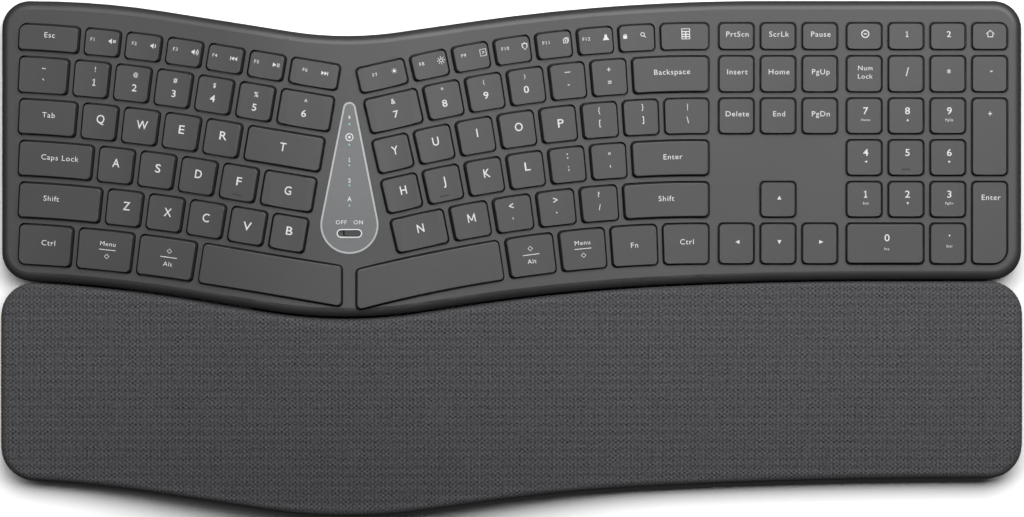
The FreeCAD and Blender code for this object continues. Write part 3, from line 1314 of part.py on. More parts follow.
def cushion(inset):
    """The cushion's form moved inwards by inset: crowned, with rounded, drawn-in edges."""
    step = 2 * CROWN_REACH / (CROWN_SLICES - 1)
    slices = [crown_section(-CROWN_REACH + i * step, inset) for i in range(CROWN_SLICES)]
    crown = Part.makeLoft(slices, True, False)
    block = prism(palm_outline(inset), PALM_BASE_TOP, 2 * CREST_Z).common(crown)
    block = block.makeFillet(PALM_EDGE_ROUND - inset, outer_edges(block, PALM_BASE_TOP))
    tuck = [edge for edge in block.Edges if edge.BoundBox.ZMax < PALM_BASE_TOP + 0.01]
    return block.makeFillet(PALM_BOTTOM_ROUND, tuck) if inset == 0 else block


def housing_room():
    """The room that the leg housings take from the cushion."""
    return [leg_pocket(x, LEG_HOUSING_WALL + HOUSING_CLEARANCE) for x in LEG_X.values()]


def palm_rest_foam():
    """The foam inside the cover."""
    return cushion(COVER_THICKNESS).cut(housing_room())


def palm_rest_cover():
    """The woven cover over the foam, open below."""
    return cushion(0.0).cut(cushion(COVER_THICKNESS))


# Tilt legs and feet

def tilt_leg(x):
    """A flip-out leg, folded: a hinge barrel and a hollowed plate with a rounded end."""
    z = leg_axis_z()
    half = LEG_WIDTH / 2
    low = z - LEG_BARREL_R
    end = LEG_AXIS_Y + LEG_LENGTH
    plate = box(x - half, LEG_AXIS_Y, low, x + half, end, low + LEG_THICKNESS)
    corners = [edge for edge in plate.Edges if edge.BoundBox.ZLength > LEG_THICKNESS / 2
               and edge.BoundBox.YMin > LEG_AXIS_Y + 1]
    plate = plate.makeFillet(LEG_CORNER_R, corners)
    barrel = cylinder_x(x - half, x + half, LEG_AXIS_Y, z, LEG_BARREL_R)
    wall = LEG_WALL
    hollow = box(x - half + wall, LEG_AXIS_Y + LEG_BARREL_R + wall, low + wall,
                 x + half - wall, end - LEG_CORNER_R, low + LEG_THICKNESS + 1)
    bore = cylinder_x(x - half - 1, x + half + 1, LEG_AXIS_Y, z, LEG_PIN_R + LEG_PIN_CLEARANCE)
    return fused([plate, barrel]).cut([hollow, bore])


def tilt_leg_pins():
    """A steel pin through each leg, held in its housing."""
    pins = []
    for x in LEG_X.values():
        start, end = pin_reach(x)
        pins.append(cylinder_x(start, end, LEG_AXIS_Y, leg_axis_z(), LEG_PIN_R))
    return Part.makeCompound(pins)


def rubber_feet():
    """Flat pads under the case and the palm rest."""
    feet = []
    for x, y in CASE_FEET + PALM_FEET:
        foot = prism(stadium(FOOT_LENGTH, FOOT_WIDTH), 0, FOOT_HEIGHT)
        foot.translate(Vector(x, y, 0))
        feet.append(foot)
    return Part.makeCompound(feet)


def build():
    """Every node of the keyboard by name."""
    cells = key_cells()
    nodes = {
        "top_case": top_case(cells),
        "bottom_case": bottom_case(),
        "key_plate": key_plate(cells),
        "membrane": membrane(cells),
        "rubber_domes": rubber_domes(cells),
        "scissor_links": scissor_links(cells),
        "stabiliser_bars": stabiliser_bars(cells),
        "indicator_panel": indicator_panel(),
        "indicator_lenses": indicator_lenses(),
        "power_slider": power_slider(),
        "power_switch": power_switch(),
        "circuit_boards": circuit_boards(),
        "ribbon_cable": ribbon_cable(),
        "battery_cells": battery_cells(),
        "battery_contacts": battery_contacts(),
        "battery_door": battery_door(),
        "case_screws": case_screws(),
        "palm_rest_base": palm_rest_base(),
        "palm_rest_foam": palm_rest_foam(),
        "palm_rest_cover": palm_rest_cover(),
        "tilt_leg_pins": tilt_leg_pins(),
        "rubber_feet": rubber_feet(),
    }
    for name, x in LEG_X.items():
        nodes[name] = tilt_leg(x)
    nodes.update(key_nodes(cells))
    return nodes


def main():
    """Writes one file for each node."""
    os.makedirs("parts", exist_ok=True)
    for name, shape in build().items():
        shape.exportStep("parts/" + name + ".step")
        print(name, len(shape.Solids), round(shape.Volume, 1))


main()
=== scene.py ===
import json
import logging
from dataclasses import dataclass, field
from enum import Enum
from math import asin, atan, ceil, cos, hypot, pi, radians, sin, sqrt, tan

import bmesh
import bpy
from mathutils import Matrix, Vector
from mathutils.bvhtree import BVHTree


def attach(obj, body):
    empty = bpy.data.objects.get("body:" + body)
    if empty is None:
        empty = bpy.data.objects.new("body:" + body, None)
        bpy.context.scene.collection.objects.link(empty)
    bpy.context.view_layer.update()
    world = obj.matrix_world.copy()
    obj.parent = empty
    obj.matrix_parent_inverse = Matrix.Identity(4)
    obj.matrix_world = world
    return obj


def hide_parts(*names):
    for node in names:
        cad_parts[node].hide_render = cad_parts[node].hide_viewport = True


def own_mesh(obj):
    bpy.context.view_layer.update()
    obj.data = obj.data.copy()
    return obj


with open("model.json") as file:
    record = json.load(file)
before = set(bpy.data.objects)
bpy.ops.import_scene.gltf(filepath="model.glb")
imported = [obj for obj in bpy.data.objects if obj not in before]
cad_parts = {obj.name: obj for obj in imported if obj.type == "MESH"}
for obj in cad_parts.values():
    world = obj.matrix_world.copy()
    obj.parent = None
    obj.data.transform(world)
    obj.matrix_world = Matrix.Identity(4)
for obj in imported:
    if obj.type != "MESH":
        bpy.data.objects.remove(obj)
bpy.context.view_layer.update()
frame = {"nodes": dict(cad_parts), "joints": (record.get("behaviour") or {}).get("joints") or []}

LOG = logging.getLogger("keyboard")
MM = 0.001

Point = tuple[float, float]
Loop = list[Point]


# Helpers

def linear(colour: str) -> tuple[float, float, float, float]:
    """Turns an sRGB hex colour to linear light.

    Args:
        colour: six hex digits after a hash sign.

    Returns:
        Red, green, blue and an alpha of 1.
    """
    values = [int(colour[i:i + 2], 16) / 255 for i in (1, 3, 5)]
    red, green, blue = [v / 12.92 if v <= 0.04045 else ((v + 0.055) / 1.055) ** 2.4 for v in values]
    return red, green, blue, 1.0


def per_metre(size_mm: float) -> float:
    """The texture scale, in repeats per metre, of a detail of this size in millimetres."""
    return 1.0 / (size_mm * MM)


def steps(first: float, last: float, count: int) -> list[float]:
    """Values from first to last in even steps."""
    return [first + (last - first) * k / count for k in range(count + 1)]


def add_node(tree: bpy.types.NodeTree, kind: str, settings: dict | None = None,
             links: dict | None = None) -> bpy.types.Node:
    """Adds one node with its settings and links.

    Args:
        tree: the tree that gets the node.
        kind: the node's type.
        settings: values by attribute name, or by the name or number of an input.
        links: output sockets by the name or number of the input that they go to.

    Returns:
        The new node.
    """
    node = tree.nodes.new(kind)
    for name, value in (settings or {}).items():
        if isinstance(name, str) and hasattr(node, name):
            setattr(node, name, value)
        else:
            node.inputs[name].default_value = value
    for name, socket in (links or {}).items():
        tree.links.new(socket, node.inputs[name])
    return node


def new_material(name: str, shader: dict) -> tuple[bpy.types.Material, bpy.types.NodeTree, bpy.types.Node]:
    """Makes a material with one principled shader.

    Args:
        name: the material's name.
        shader: values of the shader's inputs by name.

    Returns:
        The material, its tree and the shader.
    """
    material = bpy.data.materials.new(name)
    material.use_nodes = True
    tree = material.node_tree
    tree.nodes.clear()
    principled = add_node(tree, "ShaderNodeBsdfPrincipled", shader)
    add_node(tree, "ShaderNodeOutputMaterial", links={"Surface": principled.outputs["BSDF"]})
    return material, tree, principled


def dress(node: str, material: bpy.types.Material) -> None:
    """Gives a CAD node its material.

    Args:
        node: the node's name.
        material: what it is made of.
    """
    mesh = frame["nodes"][node].data
    if not mesh.materials:
        mesh.materials.append(material)
    for i in range(len(mesh.materials)):
        mesh.materials[i] = material
    LOG.info("dressed %s in %s", node, material.name)


def mesh_piece(name: str, vertices: list[Vector], faces: list[list[int]], material: bpy.types.Material,
               body: str, smooth: bool = True) -> bpy.types.Object:
    """Makes a mesh object that rides on a body.

    Args:
        name: the piece's name.
        vertices: its points, in metres.
        faces: its faces, as numbers of points.
        material: what it is made of.
        body: the body that it moves with.
        smooth: whether its faces are shaded smooth.

    Returns:
        The new object.
    """
    mesh = bpy.data.meshes.new(name)
    mesh.from_pydata([tuple(v) for v in vertices], [], faces)
    mesh.validate()
    for polygon in mesh.polygons:
        polygon.use_smooth = smooth
    mesh.materials.append(material)
    piece = bpy.data.objects.new(name, mesh)
    bpy.context.scene.collection.objects.link(piece)
    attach(piece, body)
    LOG.info("made %s with %d faces", name, len(faces))
    return piece


# Finishes

@dataclass(frozen=True)
class MouldedPlastic:
    """Injection-moulded ABS from a spark-eroded mould: dull, with a fine grain that breaks highlights."""

    name: str
    colour: str
    roughness: float = 0.5
    # The grain is about 0.15 mm on such products; it is drawn coarser here, because that is the finest that shows
    grain_mm: float = 0.55
    grain_depth_mm: float = 0.012
    ior: float = 1.53

    def build(self) -> bpy.types.Material:
        """Makes the material."""
        material, tree, shader = new_material(self.name, {"IOR": self.ior})
        place = add_node(tree, "ShaderNodeTexCoord").outputs["Object"]
        grain = add_node(tree, "ShaderNodeTexNoise", {"Scale": per_metre(self.grain_mm), "Detail": 2.0,
                                                      "Roughness": 0.6}, {"Vector": place})
        # Slow drift of the tone over some centimetres, from the flow of the plastic
        flow = add_node(tree, "ShaderNodeTexNoise", {"Scale": per_metre(45.0), "Detail": 1.0}, {"Vector": place})
        red, green, blue, _ = linear(self.colour)
        tones = add_node(tree, "ShaderNodeValToRGB", links={"Fac": flow.outputs["Fac"]})
        tones.color_ramp.elements[0].position = 0.3
        tones.color_ramp.elements[0].color = (red * 0.93, green * 0.93, blue * 0.93, 1.0)
        tones.color_ramp.elements[1].position = 0.7
        tones.color_ramp.elements[1].color = (red * 1.07, green * 1.07, blue * 1.07, 1.0)
        speckle = add_node(tree, "ShaderNodeMapRange", {"From Min": 0.3, "From Max": 0.7, "To Min": 0.9,
                                                        "To Max": 1.1}, {"Value": grain.outputs["Fac"]})
        tint = add_node(tree, "ShaderNodeVectorMath", {"operation": "SCALE"},
                        {0: tones.outputs["Color"], "Scale": speckle.outputs["Result"]})
        gloss = add_node(tree, "ShaderNodeMapRange",
                         {"From Min": 0.3, "From Max": 0.7, "To Min": self.roughness - 0.05,
                          "To Max": self.roughness + 0.05}, {"Value": grain.outputs["Fac"]})
        bump = add_node(tree, "ShaderNodeBump", {"Strength": 0.6, "Distance": self.grain_depth_mm * MM},
                        {"Height": grain.outputs["Fac"]})
        tree.links.new(tint.outputs["Vector"], shader.inputs["Base Color"])
        tree.links.new(gloss.outputs["Result"], shader.inputs["Roughness"])
        tree.links.new(bump.outputs["Normal"], shader.inputs["Normal"])
        return material


class Drawing(Enum):
    """How a metal's surface was worked, as the stretch of its scratches along X, Y and Z."""

    ROLLED = (0.04, 1.0, 1.0)
    DRAWN = (1.0, 0.2, 0.2)
    PLATED = (1.0, 1.0, 1.0)


@dataclass(frozen=True)
class PlainMetal:
    """Steel or nickel plate: metallic, with fine scratches along the way it was worked."""

    name: str
    colour: str
    roughness: float
    drawing: Drawing
    scratch_mm: float = 0.5

    def build(self) -> bpy.types.Material:
        """Makes the material."""
        material, tree, shader = new_material(self.name, {"Metallic": 1.0, "Base Color": linear(self.colour)})
        place = add_node(tree, "ShaderNodeTexCoord").outputs["Object"]
        along = add_node(tree, "ShaderNodeVectorMath", {"operation": "MULTIPLY", 1: self.drawing.value},
                         {0: place})
        scratches = add_node(tree, "ShaderNodeTexNoise", {"Scale": per_metre(self.scratch_mm), "Detail": 3.0},
                             {"Vector": along.outputs["Vector"]})
        gloss = add_node(tree, "ShaderNodeMapRange", {"To Min": self.roughness - 0.08,
                                                      "To Max": self.roughness + 0.08},
                         {"Value": scratches.outputs["Fac"]})
        bump = add_node(tree, "ShaderNodeBump", {"Strength": 0.3, "Distance": 0.004 * MM},
                        {"Height": scratches.outputs["Fac"]})
        tree.links.new(gloss.outputs["Result"], shader.inputs["Roughness"])
        tree.links.new(bump.outputs["Normal"], shader.inputs["Normal"])
        return material


@dataclass(frozen=True)
class Elastomer:
    """Silicone or rubber, pressed in a mould: matt, soft sheen, slightly uneven."""

    name: str
    colour: str
    roughness: float = 0.75
    mottle_mm: float = 0.8

    def build(self) -> bpy.types.Material:
        """Makes the material."""
        material, tree, shader = new_material(self.name, {"IOR": 1.42})
        place = add_node(tree, "ShaderNodeTexCoord").outputs["Object"]
        mottle = add_node(tree, "ShaderNodeTexNoise", {"Scale": per_metre(self.mottle_mm), "Detail": 3.0},
                          {"Vector": place})
        red, green, blue, _ = linear(self.colour)
        tones = add_node(tree, "ShaderNodeValToRGB", links={"Fac": mottle.outputs["Fac"]})
        tones.color_ramp.elements[0].color = (red * 0.85, green * 0.85, blue * 0.85, 1.0)
        tones.color_ramp.elements[1].color = (red * 1.15, green * 1.15, blue * 1.15, 1.0)
        gloss = add_node(tree, "ShaderNodeMapRange", {"To Min": self.roughness - 0.06,
                                                      "To Max": self.roughness + 0.06},
                         {"Value": mottle.outputs["Fac"]})
        bump = add_node(tree, "ShaderNodeBump", {"Strength": 0.4, "Distance": 0.02 * MM},
                        {"Height": mottle.outputs["Fac"]})
        tree.links.new(tones.outputs["Color"], shader.inputs["Base Color"])
        tree.links.new(gloss.outputs["Result"], shader.inputs["Roughness"])
        tree.links.new(bump.outputs["Normal"], shader.inputs["Normal"])
        return material


@dataclass(frozen=True)
class WovenPolyester:
    """Polyester in plain weave, stretched over foam: each crossing is a light dot beside a dark hole, the dark partly
    the gaps between threads and partly painted shade in the hollows.
    """

    name: str
    thread: str
    hole_and_shade: str
    # Two threads each way make one repeat; the threads across are the finer ones
    repeat_mm: tuple[float, float] = (2.43, 2.0)
    # Some threads are wound tighter, which draws faint upright and level lines
    line_mm: float = 1.62
    row_mm: float = 3.88
    thread_depth_mm: float = 0.12
    slub_mm: float = 5.0

    def wave(self, tree: bpy.types.NodeTree, place: bpy.types.NodeSocket,
             repeat_mm: float) -> bpy.types.NodeSocket:
        """A cosine wave along one way of the cloth.

        Args:
            tree: the material's tree.
            place: the place along that way, in millimetres.
            repeat_mm: the wave's length.

        Returns:
            The wave, from -1 to 1.
        """
        angle = add_node(tree, "ShaderNodeMath", {"operation": "MULTIPLY", 1: 2 * pi / repeat_mm}, {0: place})
        return add_node(tree, "ShaderNodeMath", {"operation": "COSINE"}, {0: angle.outputs[0]}).outputs[0]

    def build(self) -> bpy.types.Material:
        """Makes the material. The weave follows the cover's own map, in millimetres of cloth."""
        material, tree, shader = new_material(self.name, {"Roughness": 0.88, "IOR": 1.46, "Sheen Weight": 0.08,
                                                          "Sheen Roughness": 0.5, "Specular IOR Level": 0.22})
        cloth = add_node(tree, "ShaderNodeUVMap", {"uv_map": "cloth_mm"}).outputs["UV"]
        axes = add_node(tree, "ShaderNodeSeparateXYZ", links={"Vector": cloth}).outputs
        across = self.wave(tree, axes["X"], self.repeat_mm[0])
        crossing = add_node(tree, "ShaderNodeMath", {"operation": "MULTIPLY"},
                            {0: across, 1: self.wave(tree, axes["Y"], self.repeat_mm[1])})
        drift = add_node(tree, "ShaderNodeTexNoise", {"Scale": 1.0 / self.slub_mm, "Detail": 2.0},
                         {"Vector": cloth})
        strength = add_node(tree, "ShaderNodeMapRange", {"From Min": 0.35, "From Max": 0.65, "To Min": 0.08,
                                                         "To Max": 0.36}, {"Value": drift.outputs["Fac"]})
        height = add_node(tree, "ShaderNodeMath", {"operation": "MULTIPLY_ADD", 2: 0.5},
                          {0: crossing.outputs[0], 1: strength.outputs["Result"]})
        # Threads differ a little in thickness, each along its own length, and fibres in tone
        slub = [add_node(tree, "ShaderNodeVectorMath", {"operation": "MULTIPLY", 1: stretch}, {0: cloth}).outputs[0]
                for stretch in ((1.0, 0.05, 1.0), (0.05, 1.0, 1.0))]
        parts = [(self.wave(tree, axes["X"], self.line_mm), 0.08), (across, 0.03),
                 (self.wave(tree, axes["Y"], self.row_mm), 0.055)]
        for place, share in ((slub[0], 0.2), (slub[1], 0.15), (cloth, 0.9)):
            noise = add_node(tree, "ShaderNodeTexNoise", {"Scale": 1.0, "Detail": 1.0}, {"Vector": place})
            level = add_node(tree, "ShaderNodeMath", {"operation": "SUBTRACT", 1: 0.5}, {0: noise.outputs["Fac"]})
            parts.append((level.outputs[0], share))
        tone = height.outputs[0]
        for part, share in parts:
            tone = add_node(tree, "ShaderNodeMath", {"operation": "MULTIPLY_ADD", 1: share},
                            {0: part, 2: tone}).outputs[0]
        # The colour follows the weave's height: dark in the hollows between threads, partly painted shade there, and
        # light on the crossings
        colours = add_node(tree, "ShaderNodeValToRGB", links={"Fac": tone})
        colours.color_ramp.elements[0].color = linear(self.hole_and_shade)
        colours.color_ramp.elements[1].color = linear(self.thread)
        bump = add_node(tree, "ShaderNodeBump", {"Strength": 0.7, "Distance": self.thread_depth_mm * MM},
                        {"Height": height.outputs[0]})
        tree.links.new(colours.outputs["Color"], shader.inputs["Base Color"])
        tree.links.new(bump.outputs["Normal"], shader.inputs["Normal"])
        return material


@dataclass(frozen=True)
class PadPrint:
    """Pad-printed ink on plastic: opaque, a little uneven where the pad lifts."""

    name: str
    colour: str

    def build(self) -> bpy.types.Material:
        """Makes the material."""
        material, tree, shader = new_material(self.name, {"Roughness": 0.6, "IOR": 1.5})
        place = add_node(tree, "ShaderNodeTexCoord").outputs["Object"]
        cover = add_node(tree, "ShaderNodeTexNoise", {"Scale": per_metre(0.7), "Detail": 2.0}, {"Vector": place})
        red, green, blue, _ = linear(self.colour)
        tones = add_node(tree, "ShaderNodeValToRGB", links={"Fac": cover.outputs["Fac"]})
        tones.color_ramp.elements[0].position = 0.25
        tones.color_ramp.elements[0].color = (red * 0.8, green * 0.8, blue * 0.8, 1.0)
        tones.color_ramp.elements[1].position = 0.5
        tones.color_ramp.elements[1].color = (red, green, blue, 1.0)
        tree.links.new(tones.outputs["Color"], shader.inputs["Base Color"])
        return material


@dataclass(frozen=True)
class ClearPipe:
    """Clear polycarbonate light pipe, lit from below: smooth, bluish white, its glow a little uneven."""

    name: str
    colour: str
    strength: float

    def build(self) -> bpy.types.Material:
        """Makes the material."""
        material, tree, shader = new_material(self.name, {"Roughness": 0.2, "IOR": 1.58,
                                                          "Base Color": linear(self.colour),
                                                          "Emission Strength": self.strength})
        place = add_node(tree, "ShaderNodeTexCoord").outputs["Object"]
        glow = add_node(tree, "ShaderNodeTexNoise", {"Scale": per_metre(0.6), "Detail": 1.0}, {"Vector": place})
        red, green, blue, _ = linear(self.colour)
        tones = add_node(tree, "ShaderNodeValToRGB", links={"Fac": glow.outputs["Fac"]})
        tones.color_ramp.elements[0].color = (red * 0.8, green * 0.8, blue * 0.8, 1.0)
        tones.color_ramp.elements[1].color = (red, green, blue, 1.0)
        tree.links.new(tones.outputs["Color"], shader.inputs["Emission Color"])
        return material


@dataclass(frozen=True)
class PrintedBoard:
    """Glass-fibre laminate or polyester film with printed tracks under a clear coat: smooth, with fine lines."""

    name: str
    ground: str
    track: str
    track_mm: float

    def build(self) -> bpy.types.Material:
        """Makes the material."""
        material, tree, shader = new_material(self.name, {"Roughness": 0.3, "IOR": 1.5})
        place = add_node(tree, "ShaderNodeTexCoord").outputs["Object"]
        cells = add_node(tree, "ShaderNodeTexVoronoi", {"distance": "MANHATTAN",
                                                        "Scale": per_metre(self.track_mm)}, {"Vector": place})
        edges = add_node(tree, "ShaderNodeValToRGB", links={"Fac": cells.outputs["Distance"]})
        edges.color_ramp.interpolation = "CONSTANT"
        edges.color_ramp.elements[0].color = linear(self.ground)
        edges.color_ramp.elements[1].position = 0.8
        edges.color_ramp.elements[1].color = linear(self.track)
        bump = add_node(tree, "ShaderNodeBump", {"Strength": 0.3, "Distance": 0.03 * MM},
                        {"Height": edges.outputs["Color"]})
        tree.links.new(edges.outputs["Color"], shader.inputs["Base Color"])
        tree.links.new(bump.outputs["Normal"], shader.inputs["Normal"])
        return material


@dataclass
class Finishes:
    """Every finish of the keyboard, made once."""

    case: bpy.types.Material = field(init=False)
    caps: bpy.types.Material = field(init=False)
    panel: bpy.types.Material = field(init=False)
    panel_edge_highlight: bpy.types.Material = field(init=False)
    slider: bpy.types.Material = field(init=False)
    black_plastic: bpy.types.Material = field(init=False)
    nylon: bpy.types.Material = field(init=False)
    cloth: bpy.types.Material = field(init=False)
    ink: bpy.types.Material = field(init=False)
    pale_ink_and_highlight: bpy.types.Material = field(init=False)
    lenses: bpy.types.Material = field(init=False)
    sheet_steel: bpy.types.Material = field(init=False)
    wire: bpy.types.Material = field(init=False)
    black_zinc: bpy.types.Material = field(init=False)
    nickel: bpy.types.Material = field(init=False)
    sleeve: bpy.types.Material = field(init=False)
    silicone: bpy.types.Material = field(init=False)
    rubber: bpy.types.Material = field(init=False)
    laminate: bpy.types.Material = field(init=False)
    film: bpy.types.Material = field(init=False)
    gap_shade_film: bpy.types.Material = field(init=False)

    def __post_init__(self) -> None:
        """Makes the materials."""
        self.case = MouldedPlastic("moulded_abs_case", "#2f2f30", 0.46).build()
        self.caps = MouldedPlastic("moulded_abs_key_caps", "#2e2e2f", 0.42, 0.5, 0.01).build()
        self.panel = MouldedPlastic("moulded_abs_panel_silver_grey", "#595a5b", 0.42, 0.5, 0.006).build()
        # Light grey for the ring along the panel's edge: a painted highlight where the rounded edge catches the light
        self.panel_edge_highlight = MouldedPlastic("abs_panel_edge_painted_highlight", "#9c9ea0", 0.3, 0.5, 0.003).build()
        self.slider = MouldedPlastic("moulded_acetal_slider", "#2b2b2c", 0.38, 0.4, 0.004, 1.48).build()
        self.black_plastic = MouldedPlastic("moulded_nylon_black", "#1a1a1a", 0.5).build()
        # Near black links, so that the key gaps render dark: painted shade for the gaps
        self.nylon = MouldedPlastic("acetal_links_painted_gap_shade", "#161617", 0.5, 0.4, 0.004, 1.48).build()
        self.cloth = WovenPolyester("woven_polyester_cover", "#57575a", "#0e0e0f").build()
        self.ink = PadPrint("pad_printed_white_ink", "#c5c5c5").build()
        self.pale_ink_and_highlight = PadPrint("pad_printed_pale_ink_and_painted_highlight", "#c3c7c9").build()
        self.lenses = ClearPipe("clear_polycarbonate_lenses", "#7f9fa5", 0.1).build()
        # Near black plate, so that the key gaps render dark: painted shade for the gaps
        self.sheet_steel = PlainMetal("sheet_steel_painted_gap_shade", "#1f1f20", 0.5, Drawing.ROLLED).build()
        self.wire = PlainMetal("drawn_steel_wire", "#a9aaac", 0.3, Drawing.DRAWN).build()
        self.black_zinc = PlainMetal("black_zinc_steel", "#333335", 0.4, Drawing.PLATED).build()
        self.nickel = PlainMetal("nickel_plated_steel", "#bdb8ae", 0.22, Drawing.PLATED).build()
        self.sleeve = PlainMetal("printed_steel_cell_sleeve", "#7c8085", 0.35, Drawing.DRAWN).build()
        # Near black domes, so that the key gaps render dark: painted shade for the gaps
        self.silicone = Elastomer("silicone_painted_gap_shade", "#1c1c1d", 0.65).build()
        self.rubber = Elastomer("moulded_rubber_pads", "#19191a").build()
        self.laminate = PrintedBoard("glass_fibre_laminate", "#123d22", "#2a6b3c", 2.4).build()
        self.film = PrintedBoard("printed_polyester_film", "#8e9294", "#5d6163", 3.2).build()
        # The sheet under the keys is near black so that nothing bright shows in the key gaps: painted shade for the
        # gaps
        self.gap_shade_film = PrintedBoard("polyester_film_painted_gap_shade", "#0d0d0e", "#1a1a1c", 3.2).build()


# Outlines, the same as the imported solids'

@dataclass(frozen=True)
class Outline:
    """A closed outline of straight runs and tangent arcs, from above, in millimetres."""

    corners: tuple[tuple[float, float, float], ...]
    step_mm: float = 1.5

    def points(self) -> Loop:
        """Places along the outline.

        Returns:
            The outline as a closed polyline, in the order of its corners.
        """
        spots: Loop = []
        count = len(self.corners)
        for i, (x, y, radius) in enumerate(self.corners):
            here = Vector((x, y))
            back = (Vector(self.corners[i - 1][:2]) - here).normalized()
            on = (Vector(self.corners[(i + 1) % count][:2]) - here).normalized()
            half = back.angle(on) / 2
            run = radius / tan(half)
            centre = here + (back + on).normalized() * (radius / sin(half))
            start = here + back * run - centre
            turn = pi - 2 * half
            sense = 1 if back.x * on.y - back.y * on.x < 0 else -1
            pieces = max(2, ceil(turn * radius / self.step_mm))
            for k in range(pieces + 1):
                angle = sense * turn * k / pieces
                spots.append((centre.x + start.x * cos(angle) - start.y * sin(angle),
                              centre.y + start.x * sin(angle) + start.y * cos(angle)))
        return spots

    def inset(self, distance: float) -> Loop:
        """The outline moved inwards.

        Args:
            distance: how far, in millimetres.

        Returns:
            The moved outline, with one place for each place of the outline.
        """
        spots = self.points()
        area = sum(a[0] * b[1] - b[0] * a[1] for a, b in zip(spots, spots[1:] + spots[:1]))
        side = 1 if area > 0 else -1
        moved: Loop = []
        count = len(spots)
        for i in range(count):
            ax, ay = spots[i - 1]
            bx, by = spots[(i + 1) % count]
            length = hypot(bx - ax, by - ay)
            moved.append((spots[i][0] - side * (by - ay) / length * distance,
                          spots[i][1] + side * (bx - ax) / length * distance))
        return moved


@dataclass(frozen=True)
class CaseProfile:
    """The arch of the case's upper surface, seen from the front, in millimetres."""

    crest_x: float = -74.0
    crest_z: float = 45.0
    bend_r: float = 240.0
    left_tilt: float = 13.5
    right_tilt: float = 12.5
    flat_z: float = 20.3

    def height(self, x: float) -> float:
        """Height of the surface at a place in X."""
        left, right = radians(self.left_tilt), radians(self.right_tilt)
        start = self.crest_x - self.bend_r * sin(left)
        end = self.crest_x + self.bend_r * sin(right)
        end_z = self.crest_z - self.bend_r * (1 - cos(right))
        low_z = self.flat_z + self.bend_r * (1 - cos(right))
        low = end + (end_z - low_z) / tan(right)
        flat = low + self.bend_r * sin(right)
        if x <= start:
            return self.crest_z - self.bend_r * (1 - cos(left)) + (x - start) * tan(left)
        if x <= end:
            return self.crest_z - self.bend_r + sqrt(self.bend_r ** 2 - (x - self.crest_x) ** 2)
        if x <= low:
            return end_z - (x - end) * tan(right)
        if x <= flat:
            return self.flat_z + self.bend_r - sqrt(self.bend_r ** 2 - (flat - x) ** 2)
        return self.flat_z


# Palm rest

